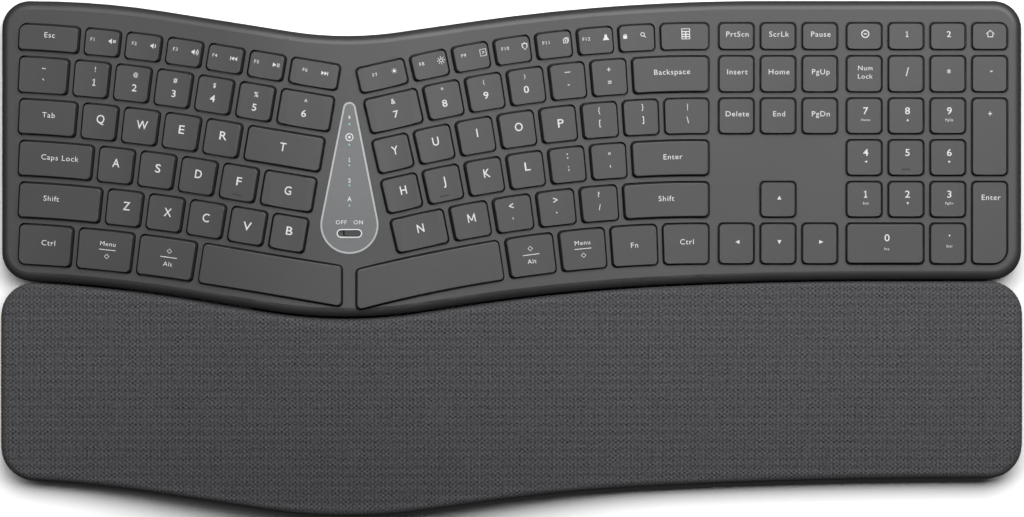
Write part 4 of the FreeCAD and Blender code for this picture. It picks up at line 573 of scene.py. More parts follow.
@dataclass
class PalmCushion:
    """The cushion in front of the keys: foam under a stretched woven cover, rounded all round."""

    finishes: Finishes
    profile: CaseProfile = field(default_factory=CaseProfile)
    half_width: float = 232.8
    rear: tuple = ((-178.6, -13.5, 700.0), (-76.3, -30.1, 221.0), (24.8, -14.9, 924.0), (123.5, -10.5, 1950.0))
    front: tuple = ((-189.8, -102.9, 590.0), (-76.5, -119.9, 250.0), (27.7, -105.5, 842.0),
                    (152.2, -100.2, 2800.0))
    rear_ends: tuple = (-10.3, -10.5)
    front_ends: tuple = (-100.4, -100.2)
    rear_corner_r: float = 15.0
    front_corner_r: tuple = (15.4, 15.4)
    base_top: float = 6.0
    edge_r: float = 3.6
    tuck_r: float = 0.8
    drop: float = 3.0
    front_z: float = 13.0
    front_rise: float = 0.3
    crown: float = 3.5
    dip: float = 17.5
    overhang: float = 4.0
    columns: int = 300
    rows: int = 64

    def outline(self) -> Outline:
        """The cushion from above."""
        w = self.half_width
        corners = [(-w, self.rear_ends[0], self.rear_corner_r), *self.rear,
                   (w, self.rear_ends[1], self.rear_corner_r), (w, self.front_ends[1], self.front_corner_r[1]),
                   *reversed(self.front), (-w, self.front_ends[0], self.front_corner_r[0])]
        return Outline(tuple(corners))

    def top(self, x: float, y: float) -> float:
        """Height of the crowned top at a place.

        Args:
            x: place along the keyboard.
            y: place across it.

        Returns:
            The height, in millimetres.
        """
        z = self.profile.height(x)
        share = max((z - self.profile.flat_z) / (self.profile.crest_z - self.profile.flat_z), 0.0)
        rear_y = self.rear_ends[1] - self.dip * share + self.overhang
        front_y = self.front_ends[1] - self.dip * share - self.overhang
        rear_z = z - self.drop
        front_z = self.front_z + self.front_rise * (z - self.profile.flat_z)
        across = (y - front_y) / (rear_y - front_y)
        return front_z + (rear_z - front_z) * across + 4 * self.crown * across * (1 - across)

    @staticmethod
    def crossing(loop: Loop, x: float) -> Point:
        """Where a line across the cushion meets an outline.

        Args:
            loop: the outline.
            x: place of the line.

        Returns:
            The front and the rear place in Y.
        """
        found = []
        for (ax, ay), (bx, by) in zip(loop, loop[1:] + loop[:1]):
            if min(ax, bx) <= x <= max(ax, bx) and abs(bx - ax) > 1e-9:
                found.append(ay + (by - ay) * (x - ax) / (bx - ax))
        return min(found), max(found)

    def build(self) -> bpy.types.Object:
        """Makes the cushion: a crowned grid, a rolled edge, straight sides and a tucked-in hem.

        Returns:
            The cushion's object.
        """
        loop = self.outline().inset(self.edge_r)
        reach = max(x for x, _ in loop) - 1e-4
        places, cloth = [], []
        for i in range(self.columns + 1):
            share = i / self.columns
            # Columns crowd together at both ends, where the corners are round
            eased = share - sin(2 * pi * share) / (2 * pi) * 0.75
            x = -reach + 2 * reach * eased
            low, high = self.crossing(loop, x)
            for j in range(self.rows + 1):
                y = low + (high - low) * j / self.rows
                places.append(Vector((x, y, self.top(x, y))))
                cloth.append((x, y))
        across = self.rows + 1
        faces = [[i * across + j, (i + 1) * across + j, (i + 1) * across + j + 1, i * across + j + 1]
                 for i in range(self.columns) for j in range(self.rows)]
        rim = [i * across for i in range(self.columns + 1)]
        rim += [self.columns * across + j for j in range(1, across)]
        rim += [i * across + self.rows for i in range(self.columns - 1, -1, -1)]
        rim += [j for j in range(self.rows - 1, 0, -1)]
        previous = rim
        for ring, (out, down, along) in enumerate(self.edge_steps()):
            current = []
            for k, base in enumerate(rim):
                before = places[rim[k - 1]]
                after = places[rim[(k + 1) % len(rim)]]
                way = Vector((after.y - before.y, before.x - after.x, 0)).normalized()
                spot = places[base] + way * out
                floor = self.base_top + self.tuck_r
                drop = self.edge_r * down if down <= 1 else 0.0
                z = places[base].z - drop if down <= 1 else floor + (places[base].z - self.edge_r - floor) * (2 - down)
                if down > 2:
                    z = floor - self.tuck_r * (down - 2)
                current.append(len(places))
                places.append(Vector((spot.x, spot.y, z)))
                cloth.append((cloth[base][0] + way.x * along, cloth[base][1] + way.y * along))
            for k in range(len(rim)):
                n = (k + 1) % len(rim)
                faces.append([previous[k], current[k], current[n], previous[n]])
            previous = current
        faces.append(list(reversed(previous)))
        vertices = [place * MM for place in places]
        cushion = mesh_piece("palm_cushion", vertices, faces, self.finishes.cloth, "frame")
        layer = cushion.data.uv_layers.new(name="cloth_mm")
        for loop_corner in cushion.data.loops:
            layer.data[loop_corner.index].uv = cloth[loop_corner.vertex_index]
        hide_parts("palm_rest_cover", "palm_rest_foam")
        return cushion

    def edge_steps(self) -> list[tuple[float, float, float]]:
        """The rounded edge, side and hem, as rings outside the crowned grid.

        Returns:
            For each ring: how far it stands out, how far down it is (0 to 1 down the roll, 1 to 2 down the side,
            2 to 3 round the hem) and how far along the cloth it is, in millimetres.
        """
        steps = []
        for k in range(1, 9):
            angle = k / 8 * pi / 2
            steps.append((self.edge_r * sin(angle), 1 - cos(angle), self.edge_r * angle))
        side = 6.0
        for k in range(1, 7):
            # The side swells a little half way down, and pulls in to the base
            swell = 0.25 * sin(pi * k / 6) - 0.25 * sin(pi * k / 6) ** 3
            steps.append((self.edge_r - swell, 1 + k / 6, self.edge_r * pi / 2 + side * k / 6))
        for k in range(1, 4):
            angle = k / 3 * pi / 2
            steps.append((self.edge_r - self.tuck_r * (1 - cos(angle)), 2 + sin(angle),
                          self.edge_r * pi / 2 + side + self.tuck_r * angle))
        steps.append((self.edge_r - 3.0, 3.0, self.edge_r * pi / 2 + side + self.tuck_r * pi / 2 + 2.2))
        return steps


# Printed marks

def arc(x: float, y: float, radius: float, start: float = 0, end: float = 360) -> tuple[Point, ...]:
    """Places along an arc.

    Args:
        x: the centre's place across.
        y: the centre's place upwards.
        radius: the arc's radius.
        start: where it starts, in degrees from the right, turning left.
        end: where it ends, in degrees.

    Returns:
        Places about every 20 degrees.
    """
    count = max(3, round(abs(end - start) / 20))
    angles = [radians(start + (end - start) * k / count) for k in range(count + 1)]
    return tuple((x + radius * cos(a), y + radius * sin(a)) for a in angles)


def rays(radius: float, reach: float) -> tuple[tuple[Point, ...], ...]:
    """Eight short strokes around a middle, from one radius to another."""
    angles = [radians(45 * k) for k in range(8)]
    return tuple(((radius * cos(a), radius * sin(a)), (reach * cos(a), reach * sin(a))) for a in angles)


def box_outline(half_width: float, half_height: float) -> tuple[Point, ...]:
    """A rectangle around the middle, closed."""
    w, h = half_width, half_height
    return (-w, -h), (w, -h), (w, h), (-w, h), (-w, -h)


@dataclass(frozen=True)
class Glyph:
    """A small drawing of strokes and filled shapes, one unit high around its middle."""

    strokes: tuple[tuple[Point, ...], ...] = ()
    fills: tuple[tuple[Point, ...], ...] = ()
    weight: float = 0.13


SPEAKER = ((-0.45, -0.16), (-0.28, -0.16), (0.0, -0.42), (0.0, 0.42), (-0.28, 0.16), (-0.45, 0.16))


class Icon(Enum):
    """Simple marks that are printed beside or instead of words."""

    BAR = Glyph(fills=(box_outline(12.0, 0.5)[:4],))
    DIAMOND = Glyph(strokes=(((0.0, -0.5), (0.5, 0.0), (0.0, 0.5), (-0.5, 0.0), (0.0, -0.5)),))
    UP = Glyph(fills=(((-0.45, -0.4), (0.45, -0.4), (0.0, 0.45)),))
    DOWN = Glyph(fills=(((0.45, 0.4), (-0.45, 0.4), (0.0, -0.45)),))
    LEFT = Glyph(fills=(((0.4, -0.42), (0.4, 0.42), (-0.5, 0.0)),))
    RIGHT = Glyph(fills=(((-0.4, 0.42), (-0.4, -0.42), (0.5, 0.0)),))
    SILENT = Glyph((((0.2, -0.2), (0.6, 0.2)), ((0.2, 0.2), (0.6, -0.2))), (SPEAKER,))
    QUIETER = Glyph((arc(0.0, 0.0, 0.3, -50, 50),), (SPEAKER,))
    LOUDER = Glyph((arc(0.0, 0.0, 0.28, -50, 50), arc(0.0, 0.0, 0.55, -50, 50)), (SPEAKER,))
    BACK = Glyph((((-0.6, -0.35), (-0.6, 0.35)),),
                 (((0.0, -0.35), (0.0, 0.35), (-0.5, 0.0)), ((0.55, -0.35), (0.55, 0.35), (0.05, 0.0))))
    PLAY = Glyph((((0.3, -0.35), (0.3, 0.35)), ((0.58, -0.35), (0.58, 0.35))),
                 (((-0.55, -0.38), (0.1, 0.0), (-0.55, 0.38)),))
    NEXT = Glyph((((0.6, -0.35), (0.6, 0.35)),),
                 (((-0.55, -0.35), (-0.05, 0.0), (-0.55, 0.35)), ((0.0, -0.35), (0.5, 0.0), (0.0, 0.35))))
    DIM = Glyph(rays(0.36, 0.46), (arc(0.0, 0.0, 0.24),), 0.1)
    BRIGHT = Glyph(rays(0.4, 0.6) + (arc(0.0, 0.0, 0.24),), weight=0.1)
    SCREEN = Glyph((box_outline(0.45, 0.5), ((-0.15, -0.2), (0.15, 0.1), (-0.15, 0.2))), weight=0.1)
    LAMP = Glyph((arc(0.0, 0.05, 0.38, -60, 240), ((-0.15, -0.45), (0.15, -0.45))) + rays(0.48, 0.6)[1:4])
    SHEETS = Glyph((box_outline(0.3, 0.3), ((-0.1, 0.45), (0.45, 0.45), (0.45, -0.15))),
                   (((-0.1, -0.1), (0.1, -0.1), (0.1, 0.1), (-0.1, 0.1)),))
    BELL = Glyph(fills=(((-0.5, -0.35), (0.5, -0.35), (0.22, 0.1), (0.15, 0.5), (-0.15, 0.5), (-0.22, 0.1)),))
    PADLOCK = Glyph((arc(0.0, 0.05, 0.24, 0, 180),), (((-0.35, -0.5), (0.35, -0.5), (0.35, 0.08), (-0.35, 0.08)),))
    SEARCH = Glyph((arc(-0.08, 0.1, 0.34), ((0.18, -0.18), (0.5, -0.5))))
    COUNTER = Glyph((box_outline(0.42, 0.55), ((-0.42, 0.25), (0.42, 0.25)), ((-0.42, -0.05), (0.42, -0.05)),
                     ((-0.42, -0.3), (0.42, -0.3)), ((0.0, -0.55), (0.0, 0.25))), weight=0.11)
    RING = Glyph((arc(0.0, 0.0, 0.45), ((-0.2, 0.0), (0.2, 0.0))))
    HOUSE = Glyph((((-0.55, 0.0), (0.0, 0.5), (0.55, 0.0)),
                   ((-0.35, 0.0), (-0.35, -0.42), (0.35, -0.42), (0.35, 0.0))))
    BOLT = Glyph(fills=(((0.1, 0.5), (-0.32, -0.05), (-0.02, -0.05), (-0.12, -0.5), (0.3, 0.08), (0.02, 0.08)),))
    TARGET = Glyph((arc(0.0, 0.0, 0.45),), (arc(0.0, 0.0, 0.16),), 0.12)
    LETTER_M = Glyph((((-0.38, -0.5), (-0.38, 0.5)), ((-0.38, 0.46), (0.0, -0.3)), ((0.0, -0.3), (0.38, 0.46)),
                      ((0.38, 0.5), (0.38, -0.5))), weight=0.12)
    ONE = Glyph((((-0.24, 0.24), (0.0, 0.45), (0.0, -0.5)), ((-0.22, -0.44), (0.22, -0.44))))


class Align(Enum):
    """Where a mark stands on its place."""

    MIDDLE = 0.5
    START = 0.0


@dataclass(frozen=True)
class Mark:
    """One printed mark: words or an icon, its place from the key's middle and its height, in millimetres."""

    what: str | Icon
    x: float = 0.0
    y: float = 0.0
    height: float = 2.5
    align: Align = Align.MIDDLE


Marks = tuple[Mark, ...]


def letter(text: str | Icon) -> Marks:
    """A letter key's mark."""
    return (Mark(text, 0.5, 1.0, 4.0),)


def pair(shifted: str, plain: str | Icon, plain_height: float = 3.3, shifted_height: float = 2.4) -> Marks:
    """The two marks of a digit or punctuation key."""
    return Mark(shifted, 0.3, 4.1, shifted_height), Mark(plain, 0.3, -1.7, plain_height)


def function(text: str, icon: Icon, height: float = 2.6, shift: float = 0.0) -> Marks:
    """The small number and the icon of a function key."""
    return Mark(text, -5.4 + shift, 0.8, 1.6), Mark(icon, 3.5 + shift, 0.6, height * 1.15)


def word(text: str | Icon, x: float = 0.5, y: float = 1.1, height: float = 2.5,
         align: Align = Align.MIDDLE) -> Marks:
    """One word on a key."""
    return (Mark(text, x, y, height, align),)


def start(text: str, x: float) -> Marks:
    """A word that starts at a place, on the keys of the left edge."""
    return word(text, x, align=Align.START)


def halves(upper: str | Icon, lower: str | Icon) -> Marks:
    """Two marks with a thin bar between them."""
    return Mark(upper, 0.5, 3.2, 2.1), Mark(Icon.BAR, 0.5, 0.4, 0.32), Mark(lower, 0.5, -2.6, 2.1)


def digit(text: str | Icon, below: str | Icon = "") -> Marks:
    """A digit of the number pad, with what it does otherwise below it."""
    upper = Mark(text, 0.7, 2.5, 3.3)
    if isinstance(below, Icon):
        return upper, Mark(below, 0.8, -1.8, 1.3)
    return (upper, Mark(below, 0.7, -1.7, 1.1)) if below else (upper,)


# What each key says. A node's keys stand in reading order: row by row from the rear, left to right
LEGENDS: dict[str, tuple[Marks, ...]] = {
    "esc_key": (start("Esc", -3.0),),
    "tab_key": (start("Tab", -2.4),),
    "caps_lock_key": (start("Caps Lock", -6.1),),
    "left_shift_key": (start("Shift", -8.0),),
    "left_ctrl_key": (start("Ctrl", -1.5),),
    "left_space_bar": (),
    "right_space_bar": (),
    "enter_key": (word("Enter", 0.7),),
    "backspace_key": (word("Backspace", 0.6),),
    "right_shift_key": (word("Shift", 0.5),),
    "up_arrow_key": ((Mark(Icon.UP, 0.6, 0.8, 2.1),),),
    "down_arrow_key": ((Mark(Icon.DOWN, 0.6, 0.8, 2.1),),),
    "left_arrow_key": ((Mark(Icon.LEFT, 0.6, 0.8, 2.1),),),
    "right_arrow_key": ((Mark(Icon.RIGHT, 0.6, 0.8, 2.1),),),
    "pad_plus_key": ((Mark("+", 0.2, 10.6, 2.0),),),
    "pad_enter_key": (word("Enter", 0.2, 11.4),),
    "pad_zero_key": ((Mark("0", 0.9, 2.8, 3.3), Mark("Ins", 0.8, -2.3, 1.3)),),
    "column_1_keys": (function("F1", Icon.SILENT), (Mark("~", 0.3, 2.8, 0.6), Mark("`", 0.3, -2.2, 0.8)),
                      pair("!", Icon.ONE), letter("Q"), letter("A"), letter("Z")),
    "column_2_keys": (function("F2", Icon.QUIETER), pair("@", "2"), letter("W"), letter("S"), letter("X")),
    "column_3_keys": (function("F3", Icon.LOUDER), pair("#", "3"), letter("E"), letter("D"), letter("C")),
    "column_4_keys": (function("F4", Icon.BACK, 2.3), pair("$", "4"), letter("R"), letter("F"), letter("V")),
    "column_5_keys": (function("F5", Icon.PLAY, 2.2), pair("%", "5"), letter("T"), letter("G"), letter("B")),
    "column_6_keys": (function("F6", Icon.NEXT, 2.2, 0.0), pair("^", "6", 3.3, 1.4)),
    "column_7_keys": (function("F7", Icon.DIM, 2.4), pair("&", "7"), letter("Y"), letter("H"), letter("N")),
    "column_8_keys": (function("F8", Icon.BRIGHT), (Mark("*", 0.2, 5.3, 1.4), Mark("8", 0.1, -1.3, 3.3)),
                      letter("U"), letter("J"), letter(Icon.LETTER_M)),
    "column_9_keys": (function("F9", Icon.SCREEN), pair("(", "9"), letter("I"), letter("K"), pair("<", ",", 1.0)),
    "column_10_keys": (function("F10", Icon.LAMP), pair(")", "0"), letter("O"), letter("L"), pair(">", ".", 0.6)),
    "column_11_keys": (function("F11", Icon.SHEETS), pair("_", "-", 0.4, 0.35), letter("P"), pair(":", ";", 2.4),
                       pair("?", "/", 2.8)),
    "column_12_keys": (function("F12", Icon.BELL), pair("+", "=", 1.2, 1.8), pair("{", "[", 3.4, 3.2),
                       pair("}", "]", 3.4, 3.2),
                       pair("\"", "'", 1.1, 1.1)),
    "right_edge_keys": ((Mark(Icon.PADLOCK, -3.8, 0.7, 2.5), Mark(Icon.SEARCH, 4.4, 0.8, 2.4)),
                        (Mark(Icon.COUNTER, 0.4, 0.7, 4.2),), pair("|", "\\", 3.0, 3.0)),
    "left_modifier_keys": (halves("Menu", Icon.DIAMOND), halves(Icon.DIAMOND, "Alt")),
    "right_modifier_keys": (halves(Icon.DIAMOND, "Alt"), halves("Menu", Icon.DIAMOND), word("Fn", 0.5, 0.4),
                            word("Ctrl", 0.7)),
    "navigation_keys": (word("PrtScn"), word("ScrLk"), word("Pause"), word("Insert"), word("Home"), word("PgUp"),
                        word("Delete"), word("End"), word("PgDn")),
    "pad_top_keys": ((Mark(Icon.RING, 0.5, 1.1, 3.6),), word(Icon.ONE, height=2.8), word("2", height=2.8),
                     (Mark(Icon.HOUSE, 0.3, 1.1, 3.2),), (Mark("Num", 0.5, 2.8, 2.2), Mark("Lock", 0.5, -1.0, 2.2)),
                     (Mark("/", 0.6, 1.0, 4.0),), (Mark("*", 0.5, 1.2, 2.2),), (Mark("-", 0.8, 1.2, 0.5),)),
    "pad_digit_keys": (digit("7", "Home"), digit("8", Icon.UP), digit("9", "PgUp"), digit("4", Icon.LEFT),
                       digit("5"), digit("6", Icon.RIGHT), digit(Icon.ONE, "End"), digit("2", Icon.DOWN),
                       digit("3", "PgDn"), (Mark(".", 0.8, 3.7, 0.8), Mark("Del", 0.7, -1.1, 1.2))),
}
# How far each key's print stands from its usual place, in millimetres, in the same order
SHIFTS: dict[str, tuple[Point, ...]] = {
    "esc_key": ((0.5, 0.6),), "tab_key": ((-0.5, 0.4),), "caps_lock_key": ((-1.0, 0.3),),
    "left_shift_key": ((0.0, 0.5),), "left_ctrl_key": ((-0.8, 0.3),), "enter_key": ((0.8, -0.1),),
    "backspace_key": ((0.4, 0.4),), "pad_enter_key": ((0.5, 0.3),),
    "column_1_keys": ((0.4, 0.4), (-0.7, 0.5), (0.7, 0.5), (-0.5, 0.6), (-0.9, 0.4), (0.1, 0.2)),
    "column_2_keys": ((0.8, 0.4), (0.4, -0.1), (-0.2, 0.0), (-0.5, 0.2), (0.2, -0.3)),
    "column_3_keys": ((0.8, 0.2), (-0.3, -0.3), (-0.9, 0.4), (-0.7, 0.3), (-1.1, 0.0)),
    "column_4_keys": ((0.1, 0.2), (-1.2, 0.3), (-0.6, 0.5), (-0.9, 0.0), (-1.0, -0.7)),
    "column_5_keys": ((0.4, 0.4), (-0.9, -0.6), (-1.5, 0.1), (-1.1, -0.4), (-0.5, 0.3)),
    "column_6_keys": ((0.8, 0.3), (-1.0, 0.4)),
    "column_7_keys": ((2.4, 1.0), (0.6, 0.4), (0.8, 0.5), (0.7, 0.5), (0.4, 0.4)),
    "column_8_keys": ((2.2, 1.0), (0.5, 0.0), (0.6, 0.4), (0.5, 0.6), (0.5, 0.3)),
    "column_9_keys": ((2.4, 1.0), (0.2, 0.5), (0.6, 0.6), (1.0, 0.6), (-0.3, -0.5)),
    "column_10_keys": ((2.5, 0.9), (-0.2, 0.3), (0.7, 0.3), (0.7, 0.8), (0.1, -0.4)),
    "column_11_keys": ((2.2, 0.9), (0.4, 0.0), (1.0, -0.4), (0.6, 0.0), (0.2, 0.2)),
    "column_12_keys": ((1.8, 0.6), (0.3, -0.4), (0.1, 0.2), (1.0, 0.6), (0.8, -0.6)),
    "right_edge_keys": ((-1.1, 0.5), (0.3, 0.6), (0.4, 0.1)),
}
HOMING_KEYS = {"column_4_keys": "F", "column_8_keys": "J", "pad_digit_keys": "5"}


@dataclass
class Printer:
    """Draws marks as flat meshes in millimetres and lays them on a surface."""

    # Share of the built-in font's size that its capitals reach
    capital_share: float = 0.73
    # Single letters are narrower than the font's, except its slim ones; words are wider and set apart
    letter_width: float = 0.88
    slim_signs: str = "0123456789BEFLPRSV?"
    slim_width: float = 1.12
    word_width: float = 1.06
    word_spacing: float = 1.12
    boldness: float = 0.007
    lift_mm: float = 0.03

    def text(self, words: str, height: float, align: Align) -> tuple[list[Point], list[list[int]]]:
        """Sets words in the built-in font.

        Args:
            words: the text.
            height: how high its capitals are, or the whole of a sign without letters or digits.
            align: where it stands.

        Returns:
            Places around the mark's own place, and faces.
        """
        curve = bpy.data.curves.new("words", "FONT")
        curve.body = words
        curve.size = 1.0
        curve.resolution_u = 3
        curve.fill_mode = "FRONT"
        curve.offset = self.boldness if len(words) == 1 else 0.0
        curve.space_character = self.word_spacing
        holder = bpy.data.objects.new("words", curve)
        mesh = bpy.data.meshes.new_from_object(holder)
        spots = [(v.co.x, v.co.y) for v in mesh.vertices]
        faces = [list(p.vertices) for p in mesh.polygons]
        bpy.data.objects.remove(holder)
        bpy.data.curves.remove(curve)
        bpy.data.meshes.remove(mesh)
        left = min(x for x, _ in spots)
        right = max(x for x, _ in spots)
        low, high = 0.0, self.capital_share
        if not any(sign.isalnum() for sign in words):
            low = min(y for _, y in spots)
            high = max(y for _, y in spots)
        size = height / (high - low)
        anchor = left + (right - left) * align.value
        middle = (low + high) / 2
        wide = size * self.word_width
        if len(words) == 1:
            wide = size * (self.slim_width if words in self.slim_signs else self.letter_width)
        return [((x - anchor) * wide, (y - middle) * size) for x, y in spots], faces

    @staticmethod
    def icon(glyph: Glyph, height: float) -> tuple[list[Point], list[list[int]]]:
        """Draws an icon: each stroke becomes a band of quads, each filled shape a face.

        Args:
            glyph: the drawing.
            height: how high it is.

        Returns:
            Places around the mark's own place, and faces.
        """
        spots: list[Point] = []
        faces: list[list[int]] = []
        half = glyph.weight / 2
        for stroke in glyph.strokes:
            closed = hypot(stroke[0][0] - stroke[-1][0], stroke[0][1] - stroke[-1][1]) < 1e-6
            line = stroke[:-1] if closed else stroke
            count = len(line)
            first = len(spots)
            for i, (x, y) in enumerate(line):
                before = line[i - 1] if closed or i else line[i]
                after = line[(i + 1) % count] if closed or i < count - 1 else line[i]
                way = Vector((after[0] - before[0], after[1] - before[1])).normalized()
                spots += [(x - way.y * half, y + way.x * half), (x + way.y * half, y - way.x * half)]
            for i in range(count if closed else count - 1):
                a, b = first + 2 * i, first + 2 * ((i + 1) % count)
                faces.append([a, a + 1, b + 1, b])
        for shape in glyph.fills:
            first = len(spots)
            spots += list(shape)
            faces.append([first + k for k in range(len(shape))])
        return [(x * height, y * height) for x, y in spots], faces

    def lay(self, marks: Marks, x: float, y: float, turn: float, surface: BVHTree,
            vertices: list[Vector], faces: list[list[int]]) -> None:
        """Lays marks on a surface, straight down.

        Args:
            marks: what to print.
            x: the place across, in millimetres.
            y: the place upwards, in millimetres.
            turn: how far the marks are turned left, in radians.
            surface: what they lie on.
            vertices: gets the marks' places, in metres.
            faces: gets the marks' faces.
        """
        for mark in marks:
            if isinstance(mark.what, Icon):
                spots, shapes = self.icon(mark.what.value, mark.height)
            else:
                spots, shapes = self.text(mark.what, mark.height, mark.align)
            first = len(vertices)
            for u, v in spots:
                u, v = u + mark.x, v + mark.y
                place = Vector((x + u * cos(turn) - v * sin(turn), y + u * sin(turn) + v * cos(turn), 200.0)) * MM
                hit, normal, _, _ = surface.ray_cast(place, Vector((0, 0, -1)))
                if hit is None:
                    raise ValueError(f"mark {mark.what} at {x:.1f}, {y:.1f} runs off its surface")
                vertices.append(hit + normal * self.lift_mm * MM)
            faces += [[first + k for k in shape] for shape in shapes]


def surface_of(node: str) -> BVHTree:
    """The surface of a CAD node, for laying marks on it."""
    mesh = frame["nodes"][node].data
    return BVHTree.FromPolygons([v.co for v in mesh.vertices], [list(p.vertices) for p in mesh.polygons])


def parts_of(node: str) -> list[tuple[list[Vector], list[list[int]]]]:
    """Splits a CAD node's mesh into its separate solids.

    Args:
        node: the node's name.

    Returns:
        The points, in metres, and the faces of each solid.
    """
    copy = bmesh.new()
    copy.from_mesh(frame["nodes"][node].data)
    bmesh.ops.remove_doubles(copy, verts=copy.verts, dist=1e-6)
    seen: set[bmesh.types.BMVert] = set()
    parts = []
    for seed in copy.verts:
        if seed in seen:
            continue
        seen.add(seed)
        places = {seed: 0}
        front = [seed]
        while front:
            for edge in front.pop().link_edges:
                for vertex in edge.verts:
                    if vertex not in seen:
                        seen.add(vertex)
                        places[vertex] = len(places)
                        front.append(vertex)
        faces = dict.fromkeys(face for vertex in places for face in vertex.link_faces)
        parts.append(([vertex.co.copy() for vertex in places],
                      [[places[vertex] for vertex in face.verts] for face in faces]))
    copy.free()
    return parts


def solids_of(node: str) -> list[tuple[Vector, Vector]]:
    """Finds the boxes of a CAD node's separate solids.

    Args:
        node: the node's name.

    Returns:
        The lower and the upper corner of each solid's box, in millimetres.
    """
    return [(Vector(map(min, *points)) / MM, Vector(map(max, *points)) / MM) for points, _ in parts_of(node)]


# Key field

@dataclass
class KeyField:
    """The key caps with their legends and homing bars."""

    finishes: Finishes
    printer: Printer = field(default_factory=Printer)
    # How far the rows fall towards the split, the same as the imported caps: straight near it, round further out
    left_bend_x: float = -132.6
    left_fall: float = 0.168
    left_bend_r: float = 797.0
    left_depth: float = 10.15
    split_x: float = -74.0
    right_bend_x: float = 88.0
    right_fall: float = 0.23
    right_bend_r: float = 583.0
    first_row_y: float = 101.1
    row_pitch: float = 19.0
    bar_size: tuple[float, float, float] = (4.4, 0.7, 0.3)
    bar_y: float = -5.2

    def sag(self, x: float) -> tuple[float, float]:
        """How far a row lies in front of its straight place at x, and the slope of that."""
        if x < self.left_bend_x:
            out = self.left_bend_x - x
            return (self.left_depth - self.left_fall * out + out ** 2 / (2 * self.left_bend_r),
                    self.left_fall - out / self.left_bend_r)
        if x < self.split_x:
            return self.left_depth + self.left_fall * (x - self.left_bend_x), self.left_fall
        bend_end = self.right_bend_x - self.right_fall * self.right_bend_r
        if x < bend_end:
            return self.right_fall ** 2 * self.right_bend_r / 2 + self.right_fall * (bend_end - x), -self.right_fall
        if x < self.right_bend_x:
            out = self.right_bend_x - x
            return out ** 2 / (2 * self.right_bend_r), -out / self.right_bend_r
        return 0.0, 0.0

    def keys(self, node: str) -> list[Point]:
        """The middle of each key of a node, in reading order."""
        middles = [((low.x + high.x) / 2, (low.y + high.y) / 2) for low, high in solids_of(node)]
        return sorted(middles, key=lambda m: (round((self.first_row_y - m[1] - self.sag(m[0])[0]) / self.row_pitch),
                                              m[0]))

    def build(self) -> None:
        """Dresses the caps and prints their legends."""
        for node, legends in LEGENDS.items():
            dress(node, self.finishes.caps)
            if not legends:
                continue
            surface = surface_of(node)
            vertices: list[Vector] = []
            faces: list[list[int]] = []
            places = self.keys(node)
            if len(places) != len(legends):
                raise ValueError(f"{node} has {len(places)} keys but {len(legends)} legends")
            shifts = SHIFTS.get(node, ((0.0, 0.0),) * len(legends))
            for (x, y), (right, up), marks in zip(places, shifts, legends):
                turn = -atan(self.sag(x)[1])
                self.printer.lay(marks, x + right, y + up, turn, surface, vertices, faces)
                if marks[0].what == HOMING_KEYS.get(node):
                    self.homing_bar(node, x, y, turn, surface)
            mesh_piece(node + "_legend", vertices, faces, self.finishes.ink, node + "_body", smooth=False)

    def homing_bar(self, node: str, x: float, y: float, turn: float, surface: BVHTree) -> None:
        """Adds the small raised bar that a finger finds.

        Args:
            node: the cap's node.
            x: the key's middle across, in millimetres.
            y: the key's middle upwards, in millimetres.
            turn: the key's turn, in radians.
            surface: the caps' surface.
        """
        length, width, height = self.bar_size
        vertices, faces = [], []
        columns, rows = 12, 6
        for i in range(columns + 1):
            along = i / columns * 2 - 1
            for j in range(rows + 1):
                across = j / rows * 2 - 1
                u, v = along * length / 2, self.bar_y + across * width / 2 * sqrt(max(0.0, 1 - along ** 8))
                place = Vector((x + u * cos(turn) - v * sin(turn), y + u * sin(turn) + v * cos(turn), 200.0)) * MM
                hit, normal, _, _ = surface.ray_cast(place, Vector((0, 0, -1)))
                rise = height * sqrt(max(0.0, 1 - across ** 2)) * sqrt(max(0.0, 1 - along ** 8)) - 0.02
                vertices.append(hit + normal * rise * MM)
        across = rows + 1
        for i in range(columns):
            for j in range(rows):
                a = i * across + j
                faces.append([a, a + across, a + across + 1, a + 1])
        mesh_piece(f"{node}_homing_bar", vertices, faces, self.finishes.caps, node + "_body")


# Indicator panel

